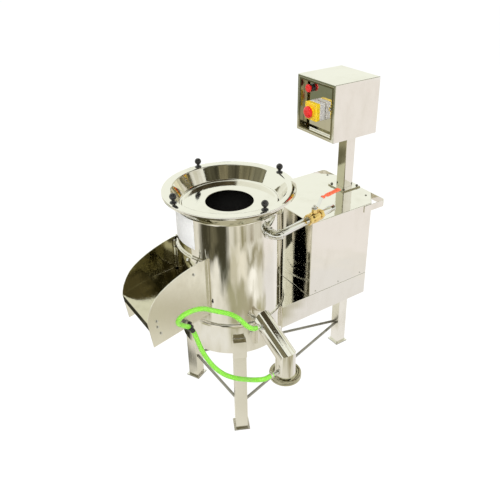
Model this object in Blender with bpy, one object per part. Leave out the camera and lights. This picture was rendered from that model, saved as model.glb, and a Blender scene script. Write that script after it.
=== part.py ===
"""Potato peeling machine: a floor-standing drum peeler with belt drive, discharge chute and control box.

Metres, +Z up, +X from the drum towards the motor housing. The drum's axis is the design datum;
at the end the whole machine is shifted so that the origin lies under the middle of its outline.
"""
import math

import bmesh
import bpy
from mathutils import Matrix, Vector

# Fits and finenesses
SEAT_GAP = 0.0003
RUNNING_GAP = 0.0004
CUT_OVERRUN = 0.004
BIG_ROUND_STEPS = 40
ROUND_STEPS = 20
SMALL_ROUND_STEPS = 12
SMOOTH_ANGLE_DEG = 32.0

# Drum shell, its flared top and its flange
DRUM_RADIUS = 0.200
DRUM_WALL = 0.003
DRUM_FLOOR_Z = 0.445
DRUM_FLOOR_HOLE_RADIUS = 0.028
FLARE_BOTTOM_Z = 0.927
FLARE_TOP_Z = 0.966
FLARE_SPREAD = 0.037
FLANGE_SPREAD = 0.046
FLANGE_THICKNESS = 0.005
FLANGE_INNER_SPREAD = 0.0165
FLANGE_EDGE_ROUND = 0.0015

# Hopper ring that lifts off, and its four ball knobs
HOPPER_LIP_THICKNESS = 0.0055
HOPPER_THROAT_RADIUS = 0.0895
HOPPER_PLATE_Z = 0.920
HOPPER_PLATE_THICKNESS = 0.003
HOPPER_PLATE_INSET = 0.016
HOPPER_CONE_SPREAD = 0.0125
HOPPER_BEAD = 0.003
KNOB_CIRCLE_SPREAD = 0.0275
KNOB_BALL_RADIUS = 0.0128
KNOB_BALL_HEIGHT = 0.0238
KNOB_NECK_RADIUS = 0.0055
KNOB_BASE_RADIUS = 0.0125
KNOB_BASE_HEIGHT = 0.005
STUD_RADIUS = 0.004
STUD_HOLE_GAP = 0.0006
STUD_LENGTH = 0.013
KNOB_NAMES = ("knob_back", "knob_left", "knob_front", "knob_right")
KNOB_ANGLES_DEG = (0.0, 90.0, 180.0, 270.0)

# Base ring under the drum
BASE_PROUD = 0.006
BASE_WALL = 0.003
BASE_BOTTOM_Z = 0.3725
BASE_TOP_Z = 0.505
BASE_HEM = 0.004
BELT_SLOT_HALF_WIDTH = 0.135
BELT_SLOT_TOP_Z = 0.4415

# Abrasive lining
LINING_THICKNESS = 0.007
LINING_BOTTOM_Z = 0.632
LINING_TOP_Z = 0.900

# Turntable with three waves and three sweeping paddles
TABLE_CLEARANCE = 0.006
TABLE_TOP_Z = 0.640
TABLE_THICKNESS = 0.012
TABLE_WAVE_HEIGHT = 0.016
TABLE_WAVES = 3
TABLE_RING_SHARES = (0.24, 0.36, 0.50, 0.64, 0.78, 0.90, 1.0)
TABLE_WAVE_SHARES = (0.0, 0.35, 0.80, 1.0, 0.95, 0.70, 0.30)
TABLE_STEPS = 36
PADDLE_COUNT = 3
PADDLE_INNER_RADIUS = 0.075
PADDLE_INSET = 0.008
PADDLE_THICKNESS = 0.006
PADDLE_DEPTH = 0.060

# Main shaft and its bearing housing
SHAFT_RADIUS = 0.0145
SHAFT_BOTTOM_Z = 0.404
SHAFT_COLLAR_RADIUS = 0.034
SHAFT_COLLAR_HEIGHT = 0.008
SHAFT_NUT_RADIUS = 0.020
SHAFT_NUT_HEIGHT = 0.016
SHAFT_NUT_DOME = 0.010
HOUSING_RADIUS = 0.032
HOUSING_FLANGE_RADIUS = 0.060
HOUSING_FLANGE_HEIGHT = 0.008
HOUSING_TOP_CLEARANCE = 0.006
HOUSING_WAIST_RADIUS = 0.028

# Belt drive
BIG_PULLEY_RADIUS = 0.120
SMALL_PULLEY_RADIUS = 0.030
PULLEY_WIDTH = 0.022
PULLEY_MID_Z = 0.4245
GROOVE_DEPTH = 0.010
GROOVE_HALF_TOP = 0.0068
GROOVE_HALF_BOTTOM = 0.0038
PULLEY_WEB = 0.006
PULLEY_HUB_RADIUS = 0.026
PULLEY_RIM = 0.008
PULLEY_HOLE_COUNT = 5
PULLEY_HOLE_RADIUS = 0.019
BELT_SINK = 0.0015
BELT_HEIGHT = 0.008
BELT_CLEARANCE = 0.0005
BELT_ARC_STEPS = 20
MOTOR_X = 0.410
MOTOR_RADIUS = 0.066
MOTOR_FIN_DEPTH = 0.007
MOTOR_FINS = 12
MOTOR_HEIGHT = 0.150
MOTOR_FLANGE_RADIUS = 0.080
MOTOR_FLANGE_HEIGHT = 0.010
MOTOR_COWL_RADIUS = 0.070
MOTOR_COWL_HEIGHT = 0.052
MOTOR_COWL_ROUND = 0.014
MOTOR_SHAFT_RADIUS = 0.012
MOTOR_SHAFT_BORE_DEPTH = 0.030
MOTOR_SHAFT_CLEARANCE = 0.0015

# Chassis tray and motor cover, with cut corners at the far end
CHASSIS_START_X = 0.112
CHASSIS_HALF_WIDTH = 0.187
CHASSIS_BOTTOM_Z = 0.404
CHASSIS_TOP_Z = 0.503
CHASSIS_WALL = 0.003
CHASSIS_LIP = 0.012
HOUSING_END_X = 0.617
CORNER_CUT_X = 0.070
CORNER_CUT_Y = 0.076
COVER_GAP_TO_DRUM = 0.043
COVER_TOP_Z = 0.830
COVER_WALL = 0.002
COVER_EDGE_ROUND = 0.003

# Lifting strips round the two cut corners
STRIP_THICKNESS = 0.003
STRIP_HEIGHT = 0.028
STRIP_TAIL = 0.040
STRIP_CORNER_RADIUS = 0.014
STRIP_CORNER_STEPS = 6

# Control post and its base plate
POST_FROM_END = 0.049
POST_SIZE = 0.048
POST_WALL = 0.002
POST_PLATE_SIZE = 0.095
POST_PLATE_THICKNESS = 0.005

# Control box
BOX_FRONT_FROM_POST = 0.165
BOX_DEPTH = 0.2225
BOX_WIDTH = 0.2225
BOX_HEIGHT = 0.2225
BOX_MID_Y = 0.012
BOX_BOTTOM_Z = 1.083
BOX_FRAME = 0.011
BOX_RECESS = 0.025
BOX_WALL = 0.004
BOX_EDGE_ROUND = 0.002
PANEL_THICKNESS = 0.003

# Emergency stop and push button on the panel
STOP_Y = 0.016
STOP_Z = 1.184
STOP_BOX_SIZE = 0.068
STOP_BASE_DEPTH = 0.026
STOP_COVER_DEPTH = 0.018
STOP_BOX_ROUND = 0.005
STOP_COLLAR_RADIUS = 0.018
STOP_COLLAR_HEIGHT = 0.003
STOP_HEAD_RADIUS = 0.0215
STOP_HEAD_HEIGHT = 0.013
STOP_STEM_RADIUS = 0.011
STOP_STEM_BELOW = 0.006
STOP_STEM_GAP = 0.0005
STOP_TRAVEL = 0.005
BUTTON_Y = 0.067
BUTTON_Z = 1.258
BUTTON_BEZEL_RADIUS = 0.0150
BUTTON_BEZEL_HEIGHT = 0.009
BUTTON_BORE_RADIUS = 0.0118
BUTTON_STEM_RADIUS = 0.0113
BUTTON_HEAD_RADIUS = 0.0158
BUTTON_TRAVEL = 0.0035
BUTTON_FLOOR_GAP = 0.001
BUTTON_PROUD = 0.0115

# Water inlet: stub, elbow, run, valve and tail
INLET_ANGLE_DEG = -79.4
INLET_Z = 0.864
PIPE_RADIUS = 0.0134
PIPE_WALL = 0.0024
INLET_CORNER_GAP = 0.0395
ELBOW_RADIUS = 0.0165
ELBOW_LEG = 0.024
ELBOW_BEAD = 0.0022
ELBOW_BEAD_LENGTH = 0.007
INLET_FLANGE_RADIUS = 0.022
INLET_FLANGE_HEIGHT = 0.004
VALVE_START = 0.163
VALVE_LENGTH = 0.078
VALVE_HEX_FLAT = 0.037
VALVE_HEX_LENGTH = 0.016
VALVE_BARREL_RADIUS = 0.0215
VALVE_BORE_RADIUS = 0.0105
STEM_BOSS_RADIUS = 0.011
STEM_BOSS_TOP = 0.034
STEM_RADIUS = 0.005
STEM_TOP = 0.049
LEVER_HUB_RADIUS = 0.012
LEVER_THICKNESS = 0.003
LEVER_WIDTH = 0.013
LEVER_RISE = 0.030
LEVER_RISE_START = 0.014
LEVER_RISE_END = 0.036
LEVER_LENGTH = 0.138
LEVER_HUB_CLEARANCE = 0.0006
STEM_NUT_HEIGHT = 0.006
STEM_NUT_FLAT = 0.016
GRIP_LENGTH = 0.100
GRIP_WIDTH = 0.018
GRIP_THICKNESS = 0.009
GRIP_ROUND = 0.003
TAIL_LENGTH = 0.070

# Drain pipe with a mitred bend and an end collar
DRAIN_ANGLE_DEG = -87.3
DRAIN_RADIUS = 0.038
DRAIN_WALL = 0.002
DRAIN_ROOT_Z = 0.489
DRAIN_REACH = 0.130
DRAIN_FALL = 0.0690
DRAIN_DROP = 0.1015
DRAIN_HOLE_GAP = 0.0005
COLLAR_RADIUS = 0.060
COLLAR_HEIGHT = 0.022
COLLAR_ROUND = 0.003

# Rinse hose, its two spigots and its clip
HOSE_RADIUS = 0.0092
HOSE_BEVEL_SIDES = 2
HOSE_POINTS = 76
HOSE_LEAD = 0.0175
SPIGOT_RADIUS = 0.0075
SPIGOT_BASE_RADIUS = 0.0105
SPIGOT_BASE_LENGTH = 0.006
SPIGOT_LENGTH = 0.020
TOP_SPIGOT_ALONG = 0.020
TOP_SPIGOT_TURN_DEG = 150.0
END_SPIGOT_UP = 0.036
CLIP_X = -0.2607
CLIP_Z = 0.5313
CLIP_TILT_DEG = 50.2
CLIP_FOOT_LENGTH = 0.034
CLIP_FOOT_WIDTH = 0.014
CLIP_WALL = 0.003
CLIP_SLACK = 0.0014
CLIP_WIDTH = 0.012
CLIP_STAND_OFF = 0.004
CLIP_KNOB_RADIUS = 0.009
CLIP_KNOB_LENGTH = 0.014

# Discharge chute
CHUTE_HALF_WIDTH = 0.109
CHUTE_PANEL = 0.0025
CHUTE_LENGTH = 0.214
CHUTE_PANEL_BOTTOM_Z = 0.495
CHUTE_PANEL_TOP_Z = 0.782
CHUTE_OUTLINE_SHARES = (
    (0.0, 0.174), (0.0, 1.0), (0.10, 0.992), (0.25, 0.960), (0.40, 0.918), (0.533, 0.872), (0.66, 0.815),
    (0.76, 0.760), (0.845, 0.695), (0.915, 0.610), (0.965, 0.515), (0.990, 0.440), (1.0, 0.380), (0.94, 0.0),
)
CHUTE_REAR_FLANGE = 0.010
CHUTE_FLOOR_REAR_Z = 0.6465
CHUTE_BEND_GAP = 0.100
CHUTE_FLOOR_BEND_Z = 0.636
CHUTE_FLOOR_FRONT_Z = 0.606
CHUTE_LIP_DROP = 0.034
CHUTE_LIP_LEAN = 0.004

# Outlet frame, door, hinge pin and latch
OUTLET_HALF_ANGLE_DEG = 22.2
OUTLET_BOTTOM_Z = 0.657
OUTLET_TOP_Z = 0.762
FRAME_HALF_ANGLE_DEG = 28.6
FRAME_BOTTOM_Z = 0.637
FRAME_TOP_Z = 0.776
FRAME_THICKNESS = 0.004
DOOR_HALF_ANGLE_DEG = 25.5
DOOR_BOTTOM_Z = 0.651
DOOR_TOP_Z = 0.769
DOOR_THICKNESS = 0.003
DOOR_STEPS = 12
HINGE_ANGLE_DEG = 152.4
HINGE_STANDOFF = 0.0135
HINGE_PIN_RADIUS = 0.003
HINGE_BARREL_RADIUS = 0.0052
HINGE_PIN_GAP = 0.0004
HINGE_KNUCKLE_SHARES = ((0.02, 0.20), (0.80, 0.98))
HINGE_LEAF_SHARES = ((0.23, 0.77),)
LATCH_ANGLE_DEG = 199.0
LATCH_Z = 0.735
LATCH_BOSS_RADIUS = 0.010
LATCH_BOSS_HEIGHT = 0.010
LATCH_ARM_RADIUS = 0.0035
LATCH_ARM_RISE = 0.055
LATCH_ARM_OUT = 0.028
LATCH_TONGUE_LENGTH = 0.027
LATCH_TONGUE_WIDTH = 0.009
LATCH_TONGUE_THICKNESS = 0.003
KEEPER_ANGLE_DEG = 207.6
KEEPER_WIDTH = 0.004
KEEPER_LENGTH = 0.022
KEEPER_HOOK = 0.006

# Legs, feet and braces
LEG_SIZE = 0.048
LEG_WALL = 0.0025
LEG_EDGE_ROUND = 0.002
LEG_ANGLE_DEG = 116.0
LEG_STANDOFF = 0.0013
LEG_TOP_Z = 0.442
FOOT_SIZE = 0.064
FOOT_THICKNESS = 0.005
BRACE_RADIUS = 0.006
BRACE_Z = 0.118
BRACE_STEPS = 12


# Materials and small helpers
def make_material(name, colour, roughness, metallic):
    material = bpy.data.materials.new(name)
    material.use_nodes = True
    shader = material.node_tree.nodes["Principled BSDF"]
    shader.inputs["Base Color"].default_value = (*colour, 1.0)
    shader.inputs["Roughness"].default_value = roughness
    shader.inputs["Metallic"].default_value = metallic
    return material


def face_outwards(bm):
    bmesh.ops.recalc_face_normals(bm, faces=bm.faces)
    if bm.calc_volume(signed=True) < 0.0:
        bmesh.ops.reverse_faces(bm, faces=bm.faces)


def add_object(name, bm, material, parent, smooth=True):
    face_outwards(bm)
    mesh = bpy.data.meshes.new(name)
    bm.to_mesh(mesh)
    bm.free()
    if smooth:
        mesh.shade_smooth()
        mesh.set_sharp_from_angle(angle=math.radians(SMOOTH_ANGLE_DEG))
    mesh.materials.append(material)
    piece = bpy.data.objects.new(name, mesh)
    bpy.context.scene.collection.objects.link(piece)
    piece.parent = parent
    return piece


def add_guide(name, bm, parent):
    """A shape that only cuts or joins another one and is no piece itself."""
    face_outwards(bm)
    mesh = bpy.data.meshes.new(name)
    bm.to_mesh(mesh)
    bm.free()
    guide = bpy.data.objects.new(name, mesh)
    bpy.context.scene.collection.objects.link(guide)
    guide.parent = parent
    guide.hide_render = True
    guide.display_type = "WIRE"
    return guide


def combine(piece, guide, operation="DIFFERENCE"):
    step = piece.modifiers.new(guide.name, "BOOLEAN")
    step.operation = operation
    step.object = guide


def set_pivot(piece, point):
    """Moves the piece's origin to a point of the machine, its shape staying where it is."""
    piece.data.transform(Matrix.Translation(-Vector(point)))
    piece.location = Vector(point)


def turned(profile, steps, place=None):
    """Revolves a profile of (radius, height) pairs about Z; an open one starts and ends on the axis."""
    bm = bmesh.new()
    points = [bm.verts.new((radius, 0.0, height)) for radius, height in profile]
    edges = [bm.edges.new(pair) for pair in zip(points, points[1:])]
    if min(radius for radius, height in profile) > 0.0:
        edges.append(bm.edges.new((points[-1], points[0])))
    bmesh.ops.spin(
        bm, geom=points + edges, cent=(0, 0, 0), axis=(0, 0, 1), angle=math.tau, steps=steps, use_merge=True
    )
    bmesh.ops.remove_doubles(bm, verts=bm.verts, dist=SEAT_GAP / BIG_ROUND_STEPS)
    if place is not None:
        bm.transform(place)
    return bm


def extruded(outline, low, high, place=None):
    """Raises a flat outline of (x, y) pairs from one height to another."""
    bm = bmesh.new()
    floor = bm.faces.new([bm.verts.new((x, y, low)) for x, y in outline])
    grown = bmesh.ops.extrude_face_region(bm, geom=[floor], use_keep_orig=True)
    top = [item for item in grown["geom"] if isinstance(item, bmesh.types.BMVert)]
    bmesh.ops.translate(bm, verts=top, vec=(0.0, 0.0, high - low))
    if place is not None:
        bm.transform(place)
    return bm


def framed(outer, inner, low, high, place=None):
    """Extrudes the band between two outlines with the same number of points."""
    bm = bmesh.new()
    loops = []
    for outline, height in ((outer, low), (outer, high), (inner, high), (inner, low)):
        loops.append([bm.verts.new((x, y, height)) for x, y in outline])
    for first, second in zip(loops, loops[1:] + loops[:1]):
        for index in range(len(first)):
            bm.faces.new((first[index - 1], first[index], second[index], second[index - 1]))
    if place is not None:
        bm.transform(place)
    return bm


def rectangle(low_x, high_x, low_y, high_y):
    return [(low_x, low_y), (high_x, low_y), (high_x, high_y), (low_x, high_y)]


def rounded_rectangle(width, depth, radius, corner_steps=3):
    outline = []
    for turn, side_x, side_y in ((0, 1, 1), (1, -1, 1), (2, -1, -1), (3, 1, -1)):
        centre_x = side_x * (width / 2 - radius)
        centre_y = side_y * (depth / 2 - radius)
        for step in range(corner_steps + 1):
            angle = math.radians(90.0) * (turn + step / corner_steps)
            outline.append((centre_x + radius * math.cos(angle), centre_y + radius * math.sin(angle)))
    return outline


def regular_outline(count, flat):
    """A regular polygon of a given width across its flats."""
    radius = flat / 2 / math.cos(math.pi / count)
    turn = math.tau / count
    return [(radius * math.cos(turn * (i + 0.5)), radius * math.sin(turn * (i + 0.5))) for i in range(count)]


def ribbon(path, thickness):
    """The outline of a strip of even thickness that follows a path of (x, y) points."""
    left = []
    right = []
    for index, point in enumerate(path):
        here = Vector(point)
        before = (here - Vector(path[index - 1])).normalized() if index > 0 else None
        after = (Vector(path[index + 1]) - here).normalized() if index < len(path) - 1 else None
        before = before or after
        after = after or before
        middle = (before + after).normalized()
        side = Vector((-middle.y, middle.x)) * (thickness / 2 / middle.dot(before))
        left.append(tuple(here + side))
        right.append(tuple(here - side))
    return left + right[::-1]


def block(low, high):
    return extruded(rectangle(low[0], high[0], low[1], high[1]), low[2], high[2])


def soften(bm, offset, segments, keep=None):
    """Rounds the sharp edges of a solid, or those that a test picks."""
    edges = [edge for edge in bm.edges if keep is None or keep(edge)]
    bmesh.ops.bevel(
        bm, geom=edges, offset=offset, segments=segments, affect="EDGES", profile=0.5, material=-1,
        offset_type="OFFSET",
    )
    return bm


def along(origin, direction, up=(0.0, 0.0, 1.0)):
    """A placement whose Z axis runs along a direction and whose X axis leans to another."""
    axis_z = Vector(direction).normalized()
    axis_y = axis_z.cross(Vector(up)).normalized()
    axis_x = axis_y.cross(axis_z)
    turn = Matrix((axis_x, axis_y, axis_z)).transposed().to_4x4()
    return Matrix.Translation(Vector(origin)) @ turn


def swept(stations, steps):
    """Joins rings, each given by its centre and two half axes, into a closed skin; the list closes on itself."""
    bm = bmesh.new()
    loops = []
    for centre, half_u, half_v in stations:
        ring = []
        for step in range(steps):
            angle = math.tau * step / steps
            ring.append(bm.verts.new(centre + half_u * math.cos(angle) + half_v * math.sin(angle)))
        loops.append(ring)
    for first, second in zip(loops, loops[1:] + loops[:1]):
        for index in range(steps):
            after = (index + 1) % steps
            bm.faces.new((first[index], first[after], second[after], second[index]))
    return bm


def station(centre, direction, normal, radius, stretch=1.0):
    side = Vector(direction).normalized().cross(normal).normalized()
    return (Vector(centre), Vector(normal) * radius, side * radius * stretch)


def polar(angle_deg, radius, height=0.0):
    angle = math.radians(angle_deg)
    return Vector((radius * math.cos(angle), radius * math.sin(angle), height))


def arc_plate(low_angle, high_angle, inner, outer, low, high, steps):
    """A curved plate about the drum's axis."""
    turn = (high_angle - low_angle) / steps
    outside = [tuple(polar(low_angle + turn * i, outer).xy) for i in range(steps + 1)]
    inside = [tuple(polar(low_angle + turn * i, inner).xy) for i in range(steps + 1)]
    return extruded(outside + inside[::-1], low, high)


# Sizes that follow from the driving ones
FLARE_OUTER_RADIUS = DRUM_RADIUS + FLARE_SPREAD
FLANGE_RADIUS = DRUM_RADIUS + FLANGE_SPREAD
FLANGE_INNER_RADIUS = DRUM_RADIUS + FLANGE_INNER_SPREAD
HOPPER_PLATE_RADIUS = DRUM_RADIUS - HOPPER_PLATE_INSET
HOPPER_CONE_TOP_RADIUS = DRUM_RADIUS + HOPPER_CONE_SPREAD
KNOB_CIRCLE_RADIUS = DRUM_RADIUS + KNOB_CIRCLE_SPREAD
BASE_RADIUS = DRUM_RADIUS + BASE_PROUD
TABLE_RADIUS = DRUM_RADIUS - DRUM_WALL - LINING_THICKNESS - TABLE_CLEARANCE
PADDLE_OUTER_RADIUS = TABLE_RADIUS - PADDLE_INSET
COVER_START_X = DRUM_RADIUS + COVER_GAP_TO_DRUM
POST_X = HOUSING_END_X - POST_FROM_END
BOX_FRONT_X = POST_X - BOX_FRONT_FROM_POST
INLET_REACH = DRUM_RADIUS + INLET_CORNER_GAP
CHUTE_FRONT_X = -(DRUM_RADIUS + CHUTE_LENGTH)
CHUTE_FLOOR_BEND_X = -(DRUM_RADIUS + CHUTE_BEND_GAP)
HINGE_RADIUS_FROM_AXIS = DRUM_RADIUS + HINGE_STANDOFF
LEG_CENTRE_RADIUS = BASE_RADIUS + LEG_STANDOFF
FLANGE_TOP_Z = FLARE_TOP_Z + FLANGE_THICKNESS
HOPPER_LIP_BOTTOM_Z = FLANGE_TOP_Z + SEAT_GAP
HOPPER_TOP_Z = HOPPER_LIP_BOTTOM_Z + HOPPER_LIP_THICKNESS
TABLE_BOTTOM_Z = TABLE_TOP_Z - TABLE_THICKNESS
COVER_BOTTOM_Z = CHASSIS_TOP_Z + SEAT_GAP
POST_PLATE_TOP_Z = COVER_TOP_Z + SEAT_GAP + POST_PLATE_THICKNESS
PANEL_X = BOX_FRONT_X + BOX_RECESS
STOP_BASE_X = PANEL_X - SEAT_GAP - STOP_BASE_DEPTH
STOP_COVER_X = STOP_BASE_X - SEAT_GAP - STOP_COVER_DEPTH
BUTTON_SEAT_X = PANEL_X - SEAT_GAP
INLET_OUT = polar(INLET_ANGLE_DEG, 1.0)
INLET_ALONG = Vector((-INLET_OUT.y, INLET_OUT.x, 0.0))
INLET_CORNER = polar(INLET_ANGLE_DEG, INLET_REACH, INLET_Z)
VALVE_MID = INLET_CORNER + INLET_ALONG * (VALVE_START + VALVE_LENGTH / 2)
DRAIN_OUT = polar(DRAIN_ANGLE_DEG, 1.0)
DRAIN_SIDE = Vector((-DRAIN_OUT.y, DRAIN_OUT.x, 0.0))
DRAIN_ROOT = polar(DRAIN_ANGLE_DEG, BASE_RADIUS, DRAIN_ROOT_Z)
DRAIN_BEND = DRAIN_ROOT + DRAIN_OUT * DRAIN_REACH - Vector((0.0, 0.0, DRAIN_FALL))
DRAIN_SLOPE = (DRAIN_BEND - DRAIN_ROOT).normalized()
DRAIN_END = DRAIN_BEND - Vector((0.0, 0.0, DRAIN_DROP))
REAR_LEG_X = HOUSING_END_X - CHASSIS_WALL - SEAT_GAP - LEG_SIZE / 2
HINGE_POINT = polar(HINGE_ANGLE_DEG, HINGE_RADIUS_FROM_AXIS)
DOOR_INNER_RADIUS = DRUM_RADIUS + SEAT_GAP + FRAME_THICKNESS + SEAT_GAP
DOOR_OUTER_RADIUS = DOOR_INNER_RADIUS + DOOR_THICKNESS
LATCH_SEAT_RADIUS = DOOR_OUTER_RADIUS + SEAT_GAP
HOSE_CLIP_Y = -(CHUTE_HALF_WIDTH + SEAT_GAP + CLIP_WALL + CLIP_SLACK + HOSE_RADIUS)
HOUSING_PLAN = [
    (HOUSING_END_X - CORNER_CUT_X, -CHASSIS_HALF_WIDTH),
    (HOUSING_END_X, -CHASSIS_HALF_WIDTH + CORNER_CUT_Y),
    (HOUSING_END_X, CHASSIS_HALF_WIDTH - CORNER_CUT_Y),
    (HOUSING_END_X - CORNER_CUT_X, CHASSIS_HALF_WIDTH),
]


def housing_outline(start_x, inset):
    """The plan of the chassis and its cover, drawn in by a wall or a lip."""
    lean = math.atan2(CORNER_CUT_Y, CORNER_CUT_X)
    side_shift = inset * math.tan(lean / 2)
    end_shift = inset * math.tan((math.pi / 2 - lean) / 2)
    (near_x, near_y), (end_x, end_near_y), (_, end_far_y), (far_x, far_y) = HOUSING_PLAN
    return [
        (start_x + inset, near_y + inset),
        (near_x - side_shift, near_y + inset),
        (end_x - inset, end_near_y + end_shift),
        (end_x - inset, end_far_y - end_shift),
        (far_x - side_shift, far_y - inset),
        (start_x + inset, far_y - inset),
    ]


def outlet_guide(machine, name):
    """The discharge mouth, cut alike through the shell, the lining and the frame."""
    front = 180.0
    return add_guide(
        name,
        arc_plate(
            front - OUTLET_HALF_ANGLE_DEG, front + OUTLET_HALF_ANGLE_DEG,
            DRUM_RADIUS - DRUM_WALL - LINING_THICKNESS - CUT_OVERRUN,
            DOOR_INNER_RADIUS + CUT_OVERRUN, OUTLET_BOTTOM_Z, OUTLET_TOP_Z, DOOR_STEPS,
        ),
        machine,
    )


def drain_guide(machine):
    start = DRAIN_ROOT - DRAIN_SLOPE * (DRAIN_RADIUS + CUT_OVERRUN) * 2
    length = (DRAIN_RADIUS + CUT_OVERRUN) * 4
    radius = DRAIN_RADIUS + DRAIN_HOLE_GAP
    outline = [(radius, 0.0), (radius, length)]
    return add_guide("drain_hole", turned([(0.0, 0.0)] + outline + [(0.0, length)], ROUND_STEPS,
                                          along(start, DRAIN_SLOPE)), machine)


def stud_hole_guide(machine, index):
    place = Matrix.Translation(polar(KNOB_ANGLES_DEG[index], KNOB_CIRCLE_RADIUS, FLARE_TOP_Z - CUT_OVERRUN))
    radius = STUD_RADIUS + STUD_HOLE_GAP
    height = HOPPER_TOP_Z - FLARE_TOP_Z + CUT_OVERRUN * 2
    outline = [(0.0, 0.0), (radius, 0.0), (radius, height), (0.0, height)]
    return add_guide("stud_hole_%d" % index, turned(outline, SMALL_ROUND_STEPS, place), machine)


def make_drum_shell(machine, steel, guides):
    slant = DRUM_WALL * math.sqrt(2.0)
    lean = (FLARE_TOP_Z - FLARE_BOTTOM_Z) / (FLARE_OUTER_RADIUS - DRUM_RADIUS)
    inner = DRUM_RADIUS - DRUM_WALL
    profile = [
        (DRUM_FLOOR_HOLE_RADIUS, DRUM_FLOOR_Z),
        (DRUM_RADIUS, DRUM_FLOOR_Z),
        (DRUM_RADIUS, FLARE_BOTTOM_Z),
        (FLARE_OUTER_RADIUS, FLARE_TOP_Z),
        (FLANGE_RADIUS - FLANGE_EDGE_ROUND, FLARE_TOP_Z),
        (FLANGE_RADIUS, FLARE_TOP_Z + FLANGE_EDGE_ROUND),
        (FLANGE_RADIUS, FLANGE_TOP_Z - FLANGE_EDGE_ROUND),
        (FLANGE_RADIUS - FLANGE_EDGE_ROUND, FLANGE_TOP_Z),
        (FLANGE_INNER_RADIUS, FLANGE_TOP_Z),
        (FLANGE_INNER_RADIUS, FLARE_TOP_Z),
        (FLARE_OUTER_RADIUS - slant, FLARE_TOP_Z),
        (inner, FLARE_BOTTOM_Z + (slant - DRUM_WALL) * lean),
        (inner, DRUM_FLOOR_Z + DRUM_WALL),
        (DRUM_FLOOR_HOLE_RADIUS, DRUM_FLOOR_Z + DRUM_WALL),
    ]
    shell = add_object("drum_shell", turned(profile, BIG_ROUND_STEPS), steel, machine)
    for guide in guides:
        combine(shell, guide)
    bore = PIPE_RADIUS - PIPE_WALL
    start = polar(INLET_ANGLE_DEG, DRUM_RADIUS - DRUM_WALL - CUT_OVERRUN, INLET_Z)
    length = DRUM_WALL + CUT_OVERRUN * 2
    water = turned([(0.0, 0.0), (bore, 0.0), (bore, length), (0.0, length)], SMALL_ROUND_STEPS,
                   along(start, INLET_OUT))
    combine(shell, add_guide("water_hole", water, machine))
    return shell


def make_base_ring(machine, steel, drain_hole):
    seat = DRUM_RADIUS + SEAT_GAP
    inner = BASE_RADIUS - BASE_WALL
    profile = [
        (BASE_RADIUS, BASE_BOTTOM_Z),
        (BASE_RADIUS, BASE_TOP_Z),
        (seat, BASE_TOP_Z),
        (seat, BASE_TOP_Z - BASE_WALL),
        (inner, BASE_TOP_Z - BASE_WALL),
        (inner, BASE_BOTTOM_Z + BASE_WALL),
        (inner - BASE_HEM, BASE_BOTTOM_Z + BASE_WALL),
        (inner - BASE_HEM, BASE_BOTTOM_Z),
    ]
    ring = add_object("base_ring", turned(profile, BIG_ROUND_STEPS), steel, machine)
    low = (DRUM_RADIUS / 2, -BELT_SLOT_HALF_WIDTH, BASE_BOTTOM_Z - CUT_OVERRUN)
    high = (BASE_RADIUS + CUT_OVERRUN, BELT_SLOT_HALF_WIDTH, BELT_SLOT_TOP_Z)
    combine(ring, add_guide("belt_slot", block(low, high), machine))
    combine(ring, drain_hole)
    return ring


def make_hopper(machine, steel, holes):
    plate_top = HOPPER_PLATE_Z + HOPPER_PLATE_THICKNESS
    slant = HOPPER_PLATE_THICKNESS * math.hypot(1.0, (HOPPER_CONE_TOP_RADIUS - HOPPER_PLATE_RADIUS)
                                                / (HOPPER_TOP_Z - plate_top))
    profile = [
        (HOPPER_THROAT_RADIUS, HOPPER_PLATE_Z),
        (HOPPER_PLATE_RADIUS + slant / 2, HOPPER_PLATE_Z),
        (HOPPER_CONE_TOP_RADIUS + slant, HOPPER_LIP_BOTTOM_Z),
        (FLANGE_RADIUS - FLANGE_EDGE_ROUND, HOPPER_LIP_BOTTOM_Z),
        (FLANGE_RADIUS, HOPPER_LIP_BOTTOM_Z + FLANGE_EDGE_ROUND),
        (FLANGE_RADIUS, HOPPER_TOP_Z - FLANGE_EDGE_ROUND),
        (FLANGE_RADIUS - FLANGE_EDGE_ROUND, HOPPER_TOP_Z),
        (HOPPER_CONE_TOP_RADIUS + FLANGE_EDGE_ROUND, HOPPER_TOP_Z),
        (HOPPER_CONE_TOP_RADIUS, HOPPER_TOP_Z - FLANGE_EDGE_ROUND),
        (HOPPER_PLATE_RADIUS, plate_top),
        (HOPPER_PLATE_RADIUS - HOPPER_BEAD, plate_top + HOPPER_BEAD),
        (HOPPER_PLATE_RADIUS - HOPPER_BEAD * 2, plate_top),
        (HOPPER_THROAT_RADIUS, plate_top),
    ]
    hopper = add_object("hopper", turned(profile, BIG_ROUND_STEPS), steel, machine)
    for hole in holes:
        combine(hopper, hole)
    return hopper


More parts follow.
